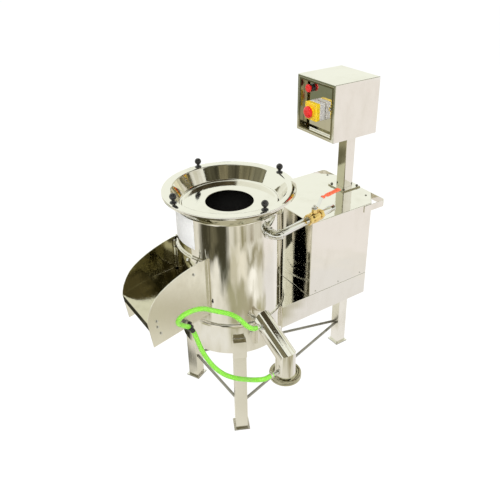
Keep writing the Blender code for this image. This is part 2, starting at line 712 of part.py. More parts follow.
def make_knob(machine, black, index):
    seat = SEAT_GAP
    ball_low = KNOB_BALL_HEIGHT - KNOB_BALL_RADIUS
    profile = [
        (0.0, seat - STUD_LENGTH),
        (STUD_RADIUS, seat - STUD_LENGTH),
        (STUD_RADIUS, seat),
        (KNOB_BASE_RADIUS, seat),
        (KNOB_BASE_RADIUS, seat + KNOB_BASE_HEIGHT / 2),
        (KNOB_NECK_RADIUS, seat + KNOB_BASE_HEIGHT),
        (KNOB_NECK_RADIUS, ball_low + KNOB_BASE_HEIGHT / 4),
    ]
    lowest = math.asin((ball_low + KNOB_BASE_HEIGHT / 4 - KNOB_BALL_HEIGHT) / KNOB_BALL_RADIUS)
    arcs = 5
    for step in range(1, arcs + 1):
        angle = lowest + (math.pi / 2 - lowest) * step / arcs
        radius = KNOB_BALL_RADIUS * math.cos(angle) if step < arcs else 0.0
        profile.append((radius, KNOB_BALL_HEIGHT + KNOB_BALL_RADIUS * math.sin(angle)))
    knob = add_object(KNOB_NAMES[index], turned(profile, SMALL_ROUND_STEPS), black, machine)
    knob.location = polar(KNOB_ANGLES_DEG[index], KNOB_CIRCLE_RADIUS, HOPPER_TOP_Z)
    return knob


def make_lining(machine, grit, mouth):
    outer = DRUM_RADIUS - DRUM_WALL - SEAT_GAP
    inner = outer - LINING_THICKNESS
    profile = [(outer, LINING_BOTTOM_Z), (outer, LINING_TOP_Z), (inner, LINING_TOP_Z), (inner, LINING_BOTTOM_Z)]
    lining = add_object("abrasive_lining", turned(profile, BIG_ROUND_STEPS), grit, machine)
    combine(lining, mouth)
    return lining


def make_turntable(machine, grit):
    """A disc whose top rises in smooth waves that throw the load against the lining."""
    bm = bmesh.new()
    hole = SHAFT_RADIUS + SEAT_GAP
    radii = [hole] + [share * TABLE_RADIUS for share in TABLE_RING_SHARES]
    lifts = [0.0] + [share * TABLE_WAVE_HEIGHT for share in TABLE_WAVE_SHARES]
    loops = []
    for radius, lift in zip(radii, lifts):
        loop = []
        for step in range(TABLE_STEPS):
            angle = math.tau * step / TABLE_STEPS
            wave = (math.cos(angle * TABLE_WAVES) + 1.0) / 2
            height = TABLE_TOP_Z + lift * wave ** 2
            loop.append(bm.verts.new((radius * math.cos(angle), radius * math.sin(angle), height)))
        loops.append(loop)
    for radius in (TABLE_RADIUS, hole):
        loop = []
        for step in range(TABLE_STEPS):
            angle = math.tau * step / TABLE_STEPS
            loop.append(bm.verts.new((radius * math.cos(angle), radius * math.sin(angle), TABLE_BOTTOM_Z)))
        loops.append(loop)
    for first, second in zip(loops, loops[1:] + loops[:1]):
        for index in range(TABLE_STEPS):
            after = (index + 1) % TABLE_STEPS
            bm.faces.new((first[index], first[after], second[after], second[index]))
    table = add_object("turntable", bm, grit, machine)
    for index in range(PADDLE_COUNT):
        paddle = block(
            (PADDLE_INNER_RADIUS, -PADDLE_THICKNESS / 2, TABLE_BOTTOM_Z - PADDLE_DEPTH),
            (PADDLE_OUTER_RADIUS, PADDLE_THICKNESS / 2, TABLE_BOTTOM_Z + TABLE_THICKNESS / 2),
        )
        paddle.transform(Matrix.Rotation(math.tau * (index + 0.5) / PADDLE_COUNT, 4, "Z"))
        combine(table, add_guide("paddle_%d" % index, paddle, machine), "UNION")
    return table


def make_main_shaft(machine, bright):
    collar_top = TABLE_BOTTOM_Z - SEAT_GAP
    nut_seat = TABLE_TOP_Z + SEAT_GAP
    nut_top = nut_seat + SHAFT_NUT_HEIGHT
    profile = [
        (0.0, SHAFT_BOTTOM_Z),
        (SHAFT_RADIUS, SHAFT_BOTTOM_Z),
        (SHAFT_RADIUS, collar_top - SHAFT_COLLAR_HEIGHT),
        (SHAFT_COLLAR_RADIUS, collar_top - SHAFT_COLLAR_HEIGHT),
        (SHAFT_COLLAR_RADIUS, collar_top),
        (SHAFT_RADIUS, collar_top),
        (SHAFT_RADIUS, nut_seat),
        (SHAFT_NUT_RADIUS, nut_seat),
        (SHAFT_NUT_RADIUS, nut_top),
        (SHAFT_NUT_RADIUS * math.cos(math.radians(45.0)), nut_top + SHAFT_NUT_DOME * math.sin(math.radians(45.0))),
        (0.0, nut_top + SHAFT_NUT_DOME),
    ]
    return add_object("main_shaft", turned(profile, ROUND_STEPS), bright, machine)


def make_bearing_housing(machine, iron):
    bore = SHAFT_RADIUS + RUNNING_GAP
    seat = DRUM_FLOOR_Z + DRUM_WALL + SEAT_GAP
    spigot = DRUM_FLOOR_HOLE_RADIUS - SEAT_GAP
    flange_top = seat + HOUSING_FLANGE_HEIGHT
    top = TABLE_BOTTOM_Z - SEAT_GAP - SHAFT_COLLAR_HEIGHT - HOUSING_TOP_CLEARANCE
    waist_top = top - (top - flange_top) / 3
    profile = [
        (bore, DRUM_FLOOR_Z - HOUSING_TOP_CLEARANCE),
        (spigot, DRUM_FLOOR_Z - HOUSING_TOP_CLEARANCE),
        (spigot, seat),
        (HOUSING_FLANGE_RADIUS, seat),
        (HOUSING_FLANGE_RADIUS, flange_top),
        (HOUSING_RADIUS, flange_top + HOUSING_FLANGE_HEIGHT),
        (HOUSING_WAIST_RADIUS, flange_top + HOUSING_FLANGE_HEIGHT * 2),
        (HOUSING_WAIST_RADIUS, waist_top),
        (HOUSING_RADIUS, waist_top + HOUSING_FLANGE_HEIGHT),
        (HOUSING_RADIUS, top),
        (bore, top),
    ]
    return add_object("bearing_housing", turned(profile, ROUND_STEPS), iron, machine)


def groove(radius):
    """The rim and the V of a pulley, from its lower face to its upper one."""
    low = PULLEY_MID_Z - PULLEY_WIDTH / 2
    high = PULLEY_MID_Z + PULLEY_WIDTH / 2
    return [
        (radius, low),
        (radius, PULLEY_MID_Z - GROOVE_HALF_TOP),
        (radius - GROOVE_DEPTH, PULLEY_MID_Z - GROOVE_HALF_BOTTOM),
        (radius - GROOVE_DEPTH, PULLEY_MID_Z + GROOVE_HALF_BOTTOM),
        (radius, PULLEY_MID_Z + GROOVE_HALF_TOP),
        (radius, high),
    ]


def make_driven_pulley(machine, iron):
    low = PULLEY_MID_Z - PULLEY_WIDTH / 2
    high = PULLEY_MID_Z + PULLEY_WIDTH / 2
    bore = SHAFT_RADIUS + SEAT_GAP
    rim = BIG_PULLEY_RADIUS - GROOVE_DEPTH - PULLEY_RIM
    web_low = PULLEY_MID_Z - PULLEY_WEB / 2
    web_high = PULLEY_MID_Z + PULLEY_WEB / 2
    profile = [(bore, low), (PULLEY_HUB_RADIUS, low), (PULLEY_HUB_RADIUS, web_low), (rim, web_low), (rim, low)]
    profile += groove(BIG_PULLEY_RADIUS)
    profile += [(rim, high), (rim, web_high), (PULLEY_HUB_RADIUS, web_high), (PULLEY_HUB_RADIUS, high), (bore, high)]
    pulley = add_object("driven_pulley", turned(profile, ROUND_STEPS), iron, machine)
    for index in range(PULLEY_HOLE_COUNT):
        centre = polar(360.0 * index / PULLEY_HOLE_COUNT, (PULLEY_HUB_RADIUS + rim) / 2, low)
        outline = [(0.0, 0.0), (PULLEY_HOLE_RADIUS, 0.0), (PULLEY_HOLE_RADIUS, PULLEY_WIDTH), (0.0, PULLEY_WIDTH)]
        hole = turned(outline, SMALL_ROUND_STEPS, Matrix.Translation(centre))
        combine(pulley, add_guide("web_hole_%d" % index, hole, machine))
    return pulley


def make_drive_pulley(machine, iron):
    low = PULLEY_MID_Z - PULLEY_WIDTH / 2
    shaft_top = CHASSIS_TOP_Z + SEAT_GAP + MOTOR_SHAFT_BORE_DEPTH - CUT_OVERRUN
    profile = [(0.0, low)] + groove(SMALL_PULLEY_RADIUS)
    profile += [
        (MOTOR_SHAFT_RADIUS, PULLEY_MID_Z + PULLEY_WIDTH / 2),
        (MOTOR_SHAFT_RADIUS, shaft_top),
        (0.0, shaft_top),
    ]
    pulley = add_object("drive_pulley", turned(profile, ROUND_STEPS), iron, machine)
    pulley.location = (MOTOR_X, 0.0, 0.0)
    return pulley


def make_belt(machine, rubber):
    """One V-belt round both pulleys, its section following the grooves with a named clearance."""
    wrap = math.acos((BIG_PULLEY_RADIUS - SMALL_PULLEY_RADIUS) / MOTOR_X)
    taper = (GROOVE_HALF_TOP - GROOVE_HALF_BOTTOM) / GROOVE_DEPTH
    outer_half = GROOVE_HALF_TOP - taper * BELT_SINK - BELT_CLEARANCE
    inner_half = GROOVE_HALF_TOP - taper * (BELT_SINK + BELT_HEIGHT) - BELT_CLEARANCE
    section = [
        (BELT_SINK, -outer_half), (BELT_SINK, outer_half),
        (BELT_SINK + BELT_HEIGHT, inner_half), (BELT_SINK + BELT_HEIGHT, -inner_half),
    ]
    bm = bmesh.new()
    loops = []
    turns = ((0.0, BIG_PULLEY_RADIUS, wrap, math.tau - wrap), (MOTOR_X, SMALL_PULLEY_RADIUS, -wrap, wrap))
    for centre, radius, start, stop in turns:
        for step in range(BELT_ARC_STEPS + 1):
            angle = start + (stop - start) * step / BELT_ARC_STEPS
            ring = []
            for sink, height in section:
                reach = radius - sink
                ring.append(bm.verts.new((centre + reach * math.cos(angle), reach * math.sin(angle),
                                          PULLEY_MID_Z + height)))
            loops.append(ring)
    for first, second in zip(loops, loops[1:] + loops[:1]):
        for index in range(len(section)):
            after = (index + 1) % len(section)
            bm.faces.new((first[index], first[after], second[after], second[index]))
    return add_object("drive_belt", bm, rubber, machine)


def make_motor(machine, paint):
    """A flanged motor standing on the chassis: finned barrel, round cowl and a blind bore for its shaft."""
    fin_radius = MOTOR_RADIUS + MOTOR_FIN_DEPTH
    finned = (MOTOR_RADIUS, MOTOR_RADIUS, fin_radius, fin_radius)
    offset_shares = (0.0, 0.5, 0.6, 0.9)
    top = MOTOR_FLANGE_HEIGHT + MOTOR_HEIGHT
    cowl_top = top + MOTOR_COWL_HEIGHT
    bore = MOTOR_SHAFT_RADIUS + RUNNING_GAP
    levels = [
        (MOTOR_SHAFT_BORE_DEPTH, bore), (0.0, bore), (0.0, MOTOR_FLANGE_RADIUS),
        (MOTOR_FLANGE_HEIGHT, MOTOR_FLANGE_RADIUS), (MOTOR_FLANGE_HEIGHT, None), (top, None),
        (top, MOTOR_COWL_RADIUS), (cowl_top - MOTOR_COWL_ROUND, MOTOR_COWL_RADIUS),
        (cowl_top, MOTOR_COWL_RADIUS - MOTOR_COWL_ROUND),
    ]
    bm = bmesh.new()
    loops = []
    for height, plain_radius in levels:
        loop = []
        for index in range(MOTOR_FINS):
            for share, fin in zip(offset_shares, finned):
                radius = plain_radius or fin
                angle = math.tau * (index + share) / MOTOR_FINS
                loop.append(bm.verts.new((radius * math.cos(angle), radius * math.sin(angle), height)))
        loops.append(loop)
    for first, second in zip(loops, loops[1:]):
        for index in range(len(first)):
            after = (index + 1) % len(first)
            bm.faces.new((first[index], first[after], second[after], second[index]))
    bm.faces.new(loops[0])
    bm.faces.new(loops[-1])
    bm.transform(Matrix.Translation((MOTOR_X, 0.0, COVER_BOTTOM_Z)))
    return add_object("motor_body", bm, paint, machine)


def make_chassis(machine, steel):
    """A folded tray, open below, with an inward lip and a top plate that carries the motor."""
    outer = extruded(housing_outline(CHASSIS_START_X, 0.0), CHASSIS_BOTTOM_Z, CHASSIS_TOP_Z)
    chassis = add_object("chassis", outer, steel, machine)
    room = extruded(housing_outline(CHASSIS_START_X, CHASSIS_WALL), CHASSIS_BOTTOM_Z + CHASSIS_WALL,
                    CHASSIS_TOP_Z - CHASSIS_WALL)
    mouth = extruded(housing_outline(CHASSIS_START_X, CHASSIS_LIP), CHASSIS_BOTTOM_Z - CUT_OVERRUN,
                     CHASSIS_TOP_Z - CHASSIS_WALL * 2)
    radius = BASE_RADIUS + SEAT_GAP
    low = CHASSIS_BOTTOM_Z - CUT_OVERRUN
    high = CHASSIS_TOP_Z + CUT_OVERRUN
    ring = turned([(0.0, low), (radius, low), (radius, high), (0.0, high)], BIG_ROUND_STEPS)
    hole_radius = MOTOR_SHAFT_RADIUS + MOTOR_SHAFT_CLEARANCE
    hole = turned([(0.0, low), (hole_radius, low), (hole_radius, high), (0.0, high)], ROUND_STEPS,
                  Matrix.Translation((MOTOR_X, 0.0, 0.0)))
    half = LEG_SIZE / 2 + SEAT_GAP
    notch = block((REAR_LEG_X - half, -half, low), (REAR_LEG_X + half, half, CHASSIS_BOTTOM_Z + CHASSIS_WALL * 2))
    for name, cutter in (("chassis_room", room), ("chassis_mouth", mouth), ("ring_seat", ring),
                         ("shaft_hole", hole), ("leg_notch", notch)):
        combine(chassis, add_guide(name, cutter, machine))
    return chassis


def make_motor_cover(machine, steel):
    def rounded(edge):
        return max(vertex.co.z for vertex in edge.verts) > COVER_BOTTOM_Z

    outer = extruded(housing_outline(COVER_START_X, 0.0), COVER_BOTTOM_Z, COVER_TOP_Z)
    soften(outer, COVER_EDGE_ROUND, 2, rounded)
    cover = add_object("motor_cover", outer, steel, machine)
    room = extruded(housing_outline(COVER_START_X, COVER_WALL), COVER_BOTTOM_Z - CUT_OVERRUN,
                    COVER_TOP_Z - COVER_WALL)
    combine(cover, add_guide("cover_room", room, machine))
    return cover


def make_corner_strip(machine, steel, name, side):
    """A bent strip round a cut corner that a hand can grip."""
    offset = SEAT_GAP + STRIP_THICKNESS / 2
    near_y = CHASSIS_HALF_WIDTH + offset
    end_x = HOUSING_END_X + offset
    path = [(HOUSING_END_X - CORNER_CUT_X - STRIP_TAIL, near_y)]
    for step in range(STRIP_CORNER_STEPS + 1):
        angle = math.radians(90.0) * (1.0 - step / STRIP_CORNER_STEPS)
        path.append((end_x - STRIP_CORNER_RADIUS + STRIP_CORNER_RADIUS * math.cos(angle),
                     near_y - STRIP_CORNER_RADIUS + STRIP_CORNER_RADIUS * math.sin(angle)))
    path.append((end_x, CHASSIS_HALF_WIDTH - CORNER_CUT_Y - STRIP_TAIL))
    path = [(x, y * side) for x, y in path]
    top = COVER_TOP_Z - COVER_EDGE_ROUND
    bm = extruded(ribbon(path, STRIP_THICKNESS), top - STRIP_HEIGHT, top)
    return add_object(name, bm, steel, machine)


def make_post(machine, steel):
    half = POST_PLATE_SIZE / 2
    low = COVER_TOP_Z + SEAT_GAP
    plate = block((POST_X - half, -half, low), (POST_X + half, half, POST_PLATE_TOP_Z))
    add_object("post_plate", plate, steel, machine, smooth=False)
    outer = rounded_rectangle(POST_SIZE, POST_SIZE, POST_WALL * 1.5)
    inside = POST_SIZE - POST_WALL * 2
    inner = rounded_rectangle(inside, inside, POST_WALL / 2)
    tube = framed(outer, inner, POST_PLATE_TOP_Z + SEAT_GAP, BOX_BOTTOM_Z - SEAT_GAP,
                  Matrix.Translation((POST_X, 0.0, 0.0)))
    return add_object("control_post", tube, steel, machine)


def make_control_box(machine, steel):
    half = BOX_WIDTH / 2
    low = (BOX_FRONT_X, BOX_MID_Y - half, BOX_BOTTOM_Z)
    high = (BOX_FRONT_X + BOX_DEPTH, BOX_MID_Y + half, BOX_BOTTOM_Z + BOX_HEIGHT)
    box = add_object("control_box", soften(block(low, high), BOX_EDGE_ROUND, 2), steel, machine)
    inset = Vector((0.0, BOX_FRAME, BOX_FRAME))
    pocket_low = Vector(low) + inset - Vector((CUT_OVERRUN, 0.0, 0.0))
    pocket_high = Vector(high) - inset - Vector((BOX_WALL, 0.0, 0.0))
    combine(box, add_guide("box_pocket", block(pocket_low, pocket_high), machine))
    gap = Vector((0.0, SEAT_GAP, SEAT_GAP))
    panel_low = Vector((PANEL_X, low[1], low[2])) + inset + gap
    panel_high = Vector((PANEL_X + PANEL_THICKNESS, high[1], high[2])) - inset - gap
    return add_object("control_panel", block(panel_low, panel_high), steel, machine, smooth=False)


def make_emergency_stop(machine, grey, yellow, red):
    facing = along((0.0, STOP_Y, STOP_Z), (-1.0, 0.0, 0.0))
    square = rounded_rectangle(STOP_BOX_SIZE, STOP_BOX_SIZE, STOP_BOX_ROUND)
    base_low = -(PANEL_X - SEAT_GAP)
    base = extruded(square, base_low, base_low + STOP_BASE_DEPTH, facing)
    add_object("stop_base", base, grey, machine)
    cover_low = -(STOP_BASE_X - SEAT_GAP)
    cover_top = cover_low + STOP_COVER_DEPTH

    def front(edge):
        return min(vertex.co.z for vertex in edge.verts) > cover_top - SEAT_GAP

    body = soften(extruded(square, cover_low, cover_top), STOP_BOX_ROUND / 2, 2, front)
    body.transform(facing)
    cover = add_object("stop_cover", body, yellow, machine)
    collar_top = cover_top + STOP_COLLAR_HEIGHT
    collar = turned([(0.0, cover_low + STOP_COLLAR_HEIGHT), (STOP_COLLAR_RADIUS, cover_low + STOP_COLLAR_HEIGHT),
                     (STOP_COLLAR_RADIUS, collar_top), (0.0, collar_top)], ROUND_STEPS, facing)
    combine(cover, add_guide("stop_collar", collar, machine), "UNION")
    bore = STOP_STEM_RADIUS + STOP_STEM_GAP
    hole = turned([(0.0, cover_low - CUT_OVERRUN), (bore, cover_low - CUT_OVERRUN), (bore, collar_top + CUT_OVERRUN),
                   (0.0, collar_top + CUT_OVERRUN)], ROUND_STEPS, facing)
    combine(cover, add_guide("stop_bore", hole, machine))
    head_low = collar_top + STOP_TRAVEL + RUNNING_GAP * 2
    rim = head_low + STOP_HEAD_HEIGHT * 0.45
    head = turned([
        (0.0, collar_top - STOP_STEM_BELOW),
        (STOP_STEM_RADIUS, collar_top - STOP_STEM_BELOW),
        (STOP_STEM_RADIUS, head_low),
        (STOP_HEAD_RADIUS * 0.92, head_low),
        (STOP_HEAD_RADIUS, head_low + STOP_HEAD_HEIGHT * 0.12),
        (STOP_HEAD_RADIUS, rim),
        (STOP_HEAD_RADIUS * 0.9, head_low + STOP_HEAD_HEIGHT * 0.75),
        (STOP_HEAD_RADIUS * 0.55, head_low + STOP_HEAD_HEIGHT * 0.95),
        (0.0, head_low + STOP_HEAD_HEIGHT),
    ], ROUND_STEPS, facing)
    button = add_object("stop_button", head, red, machine)
    set_pivot(button, (-head_low, STOP_Y, STOP_Z))
    return button


def make_push_button(machine, black, red):
    facing = along((0.0, BUTTON_Y, BUTTON_Z), (-1.0, 0.0, 0.0))
    seat = -BUTTON_SEAT_X
    chamfer = BUTTON_BEZEL_HEIGHT * 0.25
    bezel = turned([
        (BUTTON_BORE_RADIUS, seat),
        (BUTTON_BEZEL_RADIUS, seat),
        (BUTTON_BEZEL_RADIUS, seat + BUTTON_BEZEL_HEIGHT - chamfer),
        (BUTTON_BEZEL_RADIUS - chamfer / 2, seat + BUTTON_BEZEL_HEIGHT),
        (BUTTON_BORE_RADIUS, seat + BUTTON_BEZEL_HEIGHT),
    ], ROUND_STEPS, facing)
    add_object("button_bezel", bezel, black, machine)
    low = seat + BUTTON_FLOOR_GAP + BUTTON_TRAVEL
    under = seat + BUTTON_BEZEL_HEIGHT + BUTTON_TRAVEL + BUTTON_FLOOR_GAP
    top = seat + BUTTON_BEZEL_HEIGHT + BUTTON_PROUD
    cap = turned([
        (0.0, low),
        (BUTTON_STEM_RADIUS, low),
        (BUTTON_STEM_RADIUS, under),
        (BUTTON_HEAD_RADIUS, under),
        (BUTTON_HEAD_RADIUS, top - chamfer),
        (BUTTON_HEAD_RADIUS - chamfer, top - chamfer * 0.25),
        (BUTTON_HEAD_RADIUS * 0.5, top),
        (0.0, top),
    ], ROUND_STEPS, facing)
    button = add_object("push_button", cap, red, machine)
    set_pivot(button, (BUTTON_SEAT_X, BUTTON_Y, BUTTON_Z))
    return button


def pipe(length, radius, bore, steps, place):
    return turned([(bore, 0.0), (radius, 0.0), (radius, length), (bore, length)], steps, place)


def make_inlet(machine, chrome):
    bore = PIPE_RADIUS - PIPE_WALL
    start = DRUM_RADIUS + SEAT_GAP
    length = INLET_REACH - ELBOW_LEG - SEAT_GAP - start
    stub = turned([
        (bore, 0.0), (INLET_FLANGE_RADIUS, 0.0), (INLET_FLANGE_RADIUS, INLET_FLANGE_HEIGHT),
        (PIPE_RADIUS, INLET_FLANGE_HEIGHT), (PIPE_RADIUS, length), (bore, length),
    ], SMALL_ROUND_STEPS, along(polar(INLET_ANGLE_DEG, start, INLET_Z), INLET_OUT))
    add_object("inlet_stub", stub, chrome, machine)
    up = Vector((0.0, 0.0, 1.0))
    outward = []
    for reach, radius in ((ELBOW_LEG, ELBOW_RADIUS + ELBOW_BEAD), (ELBOW_LEG - ELBOW_BEAD_LENGTH,
                          ELBOW_RADIUS + ELBOW_BEAD), (ELBOW_LEG - ELBOW_BEAD_LENGTH - ELBOW_BEAD / 2, ELBOW_RADIUS)):
        outward.append(station(INLET_CORNER - INLET_OUT * reach, INLET_OUT, up, radius))
    bend = ELBOW_LEG - ELBOW_BEAD_LENGTH - ELBOW_BEAD
    centre = INLET_CORNER - INLET_OUT * bend + INLET_ALONG * bend
    arc = []
    steps = 5
    for step in range(steps + 1):
        angle = math.radians(90.0) * step / steps
        tangent = INLET_OUT * math.cos(angle) + INLET_ALONG * math.sin(angle)
        point = centre - INLET_ALONG * bend * math.cos(angle) + INLET_OUT * bend * math.sin(angle)
        arc.append((point, tangent))
    outward += [station(point, tangent, up, ELBOW_RADIUS) for point, tangent in arc[1:-1]]
    for reach, radius in ((ELBOW_LEG - ELBOW_BEAD_LENGTH - ELBOW_BEAD / 2, ELBOW_RADIUS),
                          (ELBOW_LEG - ELBOW_BEAD_LENGTH, ELBOW_RADIUS + ELBOW_BEAD),
                          (ELBOW_LEG, ELBOW_RADIUS + ELBOW_BEAD)):
        outward.append(station(INLET_CORNER + INLET_ALONG * reach, INLET_ALONG, up, radius))
    inward = [station(INLET_CORNER + INLET_ALONG * ELBOW_LEG, INLET_ALONG, up, bore)]
    inward += [station(point, tangent, up, bore) for point, tangent in arc[::-1]]
    inward.append(station(INLET_CORNER - INLET_OUT * ELBOW_LEG, INLET_OUT, up, bore))
    add_object("inlet_elbow", swept(outward + inward, SMALL_ROUND_STEPS), chrome, machine)
    run_start = INLET_CORNER + INLET_ALONG * (ELBOW_LEG + SEAT_GAP)
    run_length = VALVE_START - ELBOW_LEG - SEAT_GAP * 2
    run = pipe(run_length, PIPE_RADIUS, bore, SMALL_ROUND_STEPS, along(run_start, INLET_ALONG))
    add_object("inlet_run", run, chrome, machine)
    tail_start = INLET_CORNER + INLET_ALONG * (VALVE_START + VALVE_LENGTH + SEAT_GAP)
    tail = pipe(TAIL_LENGTH, PIPE_RADIUS, bore, SMALL_ROUND_STEPS, along(tail_start, INLET_ALONG))
    return add_object("inlet_tail", tail, chrome, machine)


def make_valve(machine, brass, chrome, red):
    start = INLET_CORNER + INLET_ALONG * VALVE_START
    place = along(start, INLET_ALONG)
    shoulder = VALVE_HEX_LENGTH * 0.75
    barrel = turned([
        (0.0, shoulder),
        (PIPE_RADIUS, shoulder),
        (VALVE_BARREL_RADIUS * 0.86, VALVE_HEX_LENGTH * 1.15),
        (VALVE_BARREL_RADIUS, VALVE_LENGTH * 0.42),
        (VALVE_BARREL_RADIUS, VALVE_LENGTH * 0.58),
        (VALVE_BARREL_RADIUS * 0.86, VALVE_LENGTH - VALVE_HEX_LENGTH * 1.15),
        (PIPE_RADIUS, VALVE_LENGTH - shoulder),
        (0.0, VALVE_LENGTH - shoulder),
    ], ROUND_STEPS, place)
    body = add_object("valve_body", barrel, brass, machine)
    hexagon = regular_outline(6, VALVE_HEX_FLAT)
    combine(body, add_guide("valve_hex_a", extruded(hexagon, 0.0, VALVE_HEX_LENGTH, place), machine), "UNION")
    far = extruded(hexagon, VALVE_LENGTH - VALVE_HEX_LENGTH, VALVE_LENGTH, place)
    combine(body, add_guide("valve_hex_b", far, machine), "UNION")
    boss_place = Matrix.Translation(VALVE_MID)
    boss = turned([(0.0, 0.0), (STEM_BOSS_RADIUS, 0.0), (STEM_BOSS_RADIUS, STEM_BOSS_TOP), (0.0, STEM_BOSS_TOP)],
                  SMALL_ROUND_STEPS, boss_place)
    combine(body, add_guide("valve_boss", boss, machine), "UNION")
    stem_low = STEM_BOSS_TOP - VALVE_HEX_LENGTH
    bore = STEM_RADIUS + RUNNING_GAP
    socket = turned([(0.0, stem_low), (bore, stem_low), (bore, STEM_TOP), (0.0, STEM_TOP)], SMALL_ROUND_STEPS,
                    boss_place)
    combine(body, add_guide("stem_socket", socket, machine))
    through = turned([(0.0, -CUT_OVERRUN), (VALVE_BORE_RADIUS, -CUT_OVERRUN), (VALVE_BORE_RADIUS, shoulder),
                      (0.0, shoulder)], SMALL_ROUND_STEPS, place)
    combine(body, add_guide("valve_mouth", through, machine))

    heading = math.atan2(INLET_ALONG.y, INLET_ALONG.x)
    turn = Matrix.Translation(VALVE_MID) @ Matrix.Rotation(heading, 4, "Z")
    strap_z = STEM_BOSS_TOP + LEVER_HUB_CLEARANCE + LEVER_THICKNESS / 2
    path = [(-LEVER_HUB_RADIUS / 2, strap_z), (LEVER_RISE_START, strap_z), (LEVER_RISE_END, strap_z + LEVER_RISE),
            (LEVER_LENGTH, strap_z + LEVER_RISE)]
    upright = Matrix.Rotation(math.radians(90.0), 4, "X")
    strap_bm = extruded(ribbon(path, LEVER_THICKNESS), -LEVER_WIDTH / 2, LEVER_WIDTH / 2, turn @ upright)
    lever = add_object("valve_lever", strap_bm, chrome, machine)
    hub_low = STEM_BOSS_TOP + LEVER_HUB_CLEARANCE
    hub = turned([
        (0.0, stem_low + RUNNING_GAP), (STEM_RADIUS, stem_low + RUNNING_GAP), (STEM_RADIUS, hub_low),
        (LEVER_HUB_RADIUS, hub_low), (LEVER_HUB_RADIUS, hub_low + LEVER_THICKNESS * 1.2),
        (STEM_RADIUS, hub_low + LEVER_THICKNESS * 1.2), (STEM_RADIUS, STEM_TOP), (0.0, STEM_TOP),
    ], SMALL_ROUND_STEPS, turn)
    combine(lever, add_guide("lever_hub", hub, machine), "UNION")
    nut_low = hub_low + LEVER_THICKNESS
    nut = extruded(regular_outline(6, STEM_NUT_FLAT), nut_low, nut_low + STEM_NUT_HEIGHT, turn)
    combine(lever, add_guide("stem_nut", nut, machine), "UNION")
    set_pivot(lever, VALVE_MID)

    grip_place = turn @ Matrix.Translation((LEVER_LENGTH + GRIP_ROUND, 0.0, strap_z + LEVER_RISE))
    grip_place = grip_place @ Matrix.Rotation(math.radians(-90.0), 4, "Y")
    outline = rounded_rectangle(GRIP_THICKNESS, GRIP_WIDTH, GRIP_ROUND)
    grip_bm = extruded(outline, 0.0, GRIP_LENGTH, grip_place)
    grip = add_object("lever_grip", grip_bm, red, machine)
    slot_half_x = LEVER_THICKNESS / 2 + SEAT_GAP
    slot_half_y = LEVER_WIDTH / 2 + SEAT_GAP
    slot = extruded(rectangle(-slot_half_x, slot_half_x, -slot_half_y, slot_half_y), GRIP_ROUND - SEAT_GAP,
                    GRIP_LENGTH + CUT_OVERRUN, grip_place)
    combine(grip, add_guide("grip_slot", slot, machine))
    set_pivot(grip, VALVE_MID)
    return lever


def make_drain(machine, steel):
    """A wide tube sloping out of the drum's floor, mitred once so that its end points straight down."""
    down = Vector((0.0, 0.0, -1.0))
    start = DRAIN_ROOT - DRAIN_SLOPE * DRAIN_RADIUS * 1.2
    middle = (DRAIN_SLOPE + down).normalized()
    stretch = 1.0 / middle.dot(down)
    inside = DRAIN_RADIUS - DRAIN_WALL
    stations = []
    for radius, order in ((DRAIN_RADIUS, 1), (inside, -1)):
        skin = [
            station(start, DRAIN_SLOPE, DRAIN_SIDE, radius),
            station(DRAIN_BEND, middle, DRAIN_SIDE, radius, stretch),
            station(DRAIN_END, down, DRAIN_SIDE, radius),
        ]
        stations += skin[::order]
    tube = add_object("drain_pipe", swept(stations, ROUND_STEPS), steel, machine)
    low = DRUM_FLOOR_Z
    high = DRAIN_ROOT_Z + DRAIN_RADIUS * 3
    room = DRUM_RADIUS - DRUM_WALL
    trim = turned([(0.0, low), (room, low), (room, high), (0.0, high)], BIG_ROUND_STEPS)
    combine(tube, add_guide("drain_trim", trim, machine))
    bore = DRAIN_RADIUS + SEAT_GAP
    collar = turned([
        (bore, 0.0),
        (COLLAR_RADIUS - COLLAR_ROUND, 0.0),
        (COLLAR_RADIUS, COLLAR_ROUND),
        (COLLAR_RADIUS, COLLAR_HEIGHT - COLLAR_ROUND),
        (COLLAR_RADIUS - COLLAR_ROUND, COLLAR_HEIGHT),
        (bore, COLLAR_HEIGHT),
    ], ROUND_STEPS, along(DRAIN_END, (0.0, 0.0, 1.0), DRAIN_SIDE))
    return add_object("drain_collar", collar, steel, machine)


def top_spigot_line():
    """Where the upper spigot leaves the sloping tube, and its direction."""
    foot = DRAIN_ROOT + DRAIN_SLOPE * TOP_SPIGOT_ALONG
    rise = DRAIN_SIDE.cross(DRAIN_SLOPE).normalized()
    if rise.z < 0.0:
        rise = -rise
    angle = math.radians(TOP_SPIGOT_TURN_DEG)
    direction = (DRAIN_SIDE * math.cos(angle) + rise * math.sin(angle)).normalized()
    return foot + direction * (DRAIN_RADIUS + SEAT_GAP), direction


def end_spigot_line():
    direction = -DRAIN_SIDE
    foot = DRAIN_END + Vector((0.0, 0.0, END_SPIGOT_UP))
    return foot + direction * (DRAIN_RADIUS + SEAT_GAP), direction


def make_spigot(machine, steel, name, line):
    origin, direction = line
    profile = [
        (0.0, 0.0),
        (SPIGOT_BASE_RADIUS, 0.0),
        (SPIGOT_BASE_RADIUS, SPIGOT_BASE_LENGTH),
        (SPIGOT_RADIUS, SPIGOT_BASE_LENGTH),
        (SPIGOT_RADIUS, SPIGOT_LENGTH),
        (0.0, SPIGOT_LENGTH),
    ]
    return add_object(name, turned(profile, SMALL_ROUND_STEPS, along(origin, direction)), steel, machine)


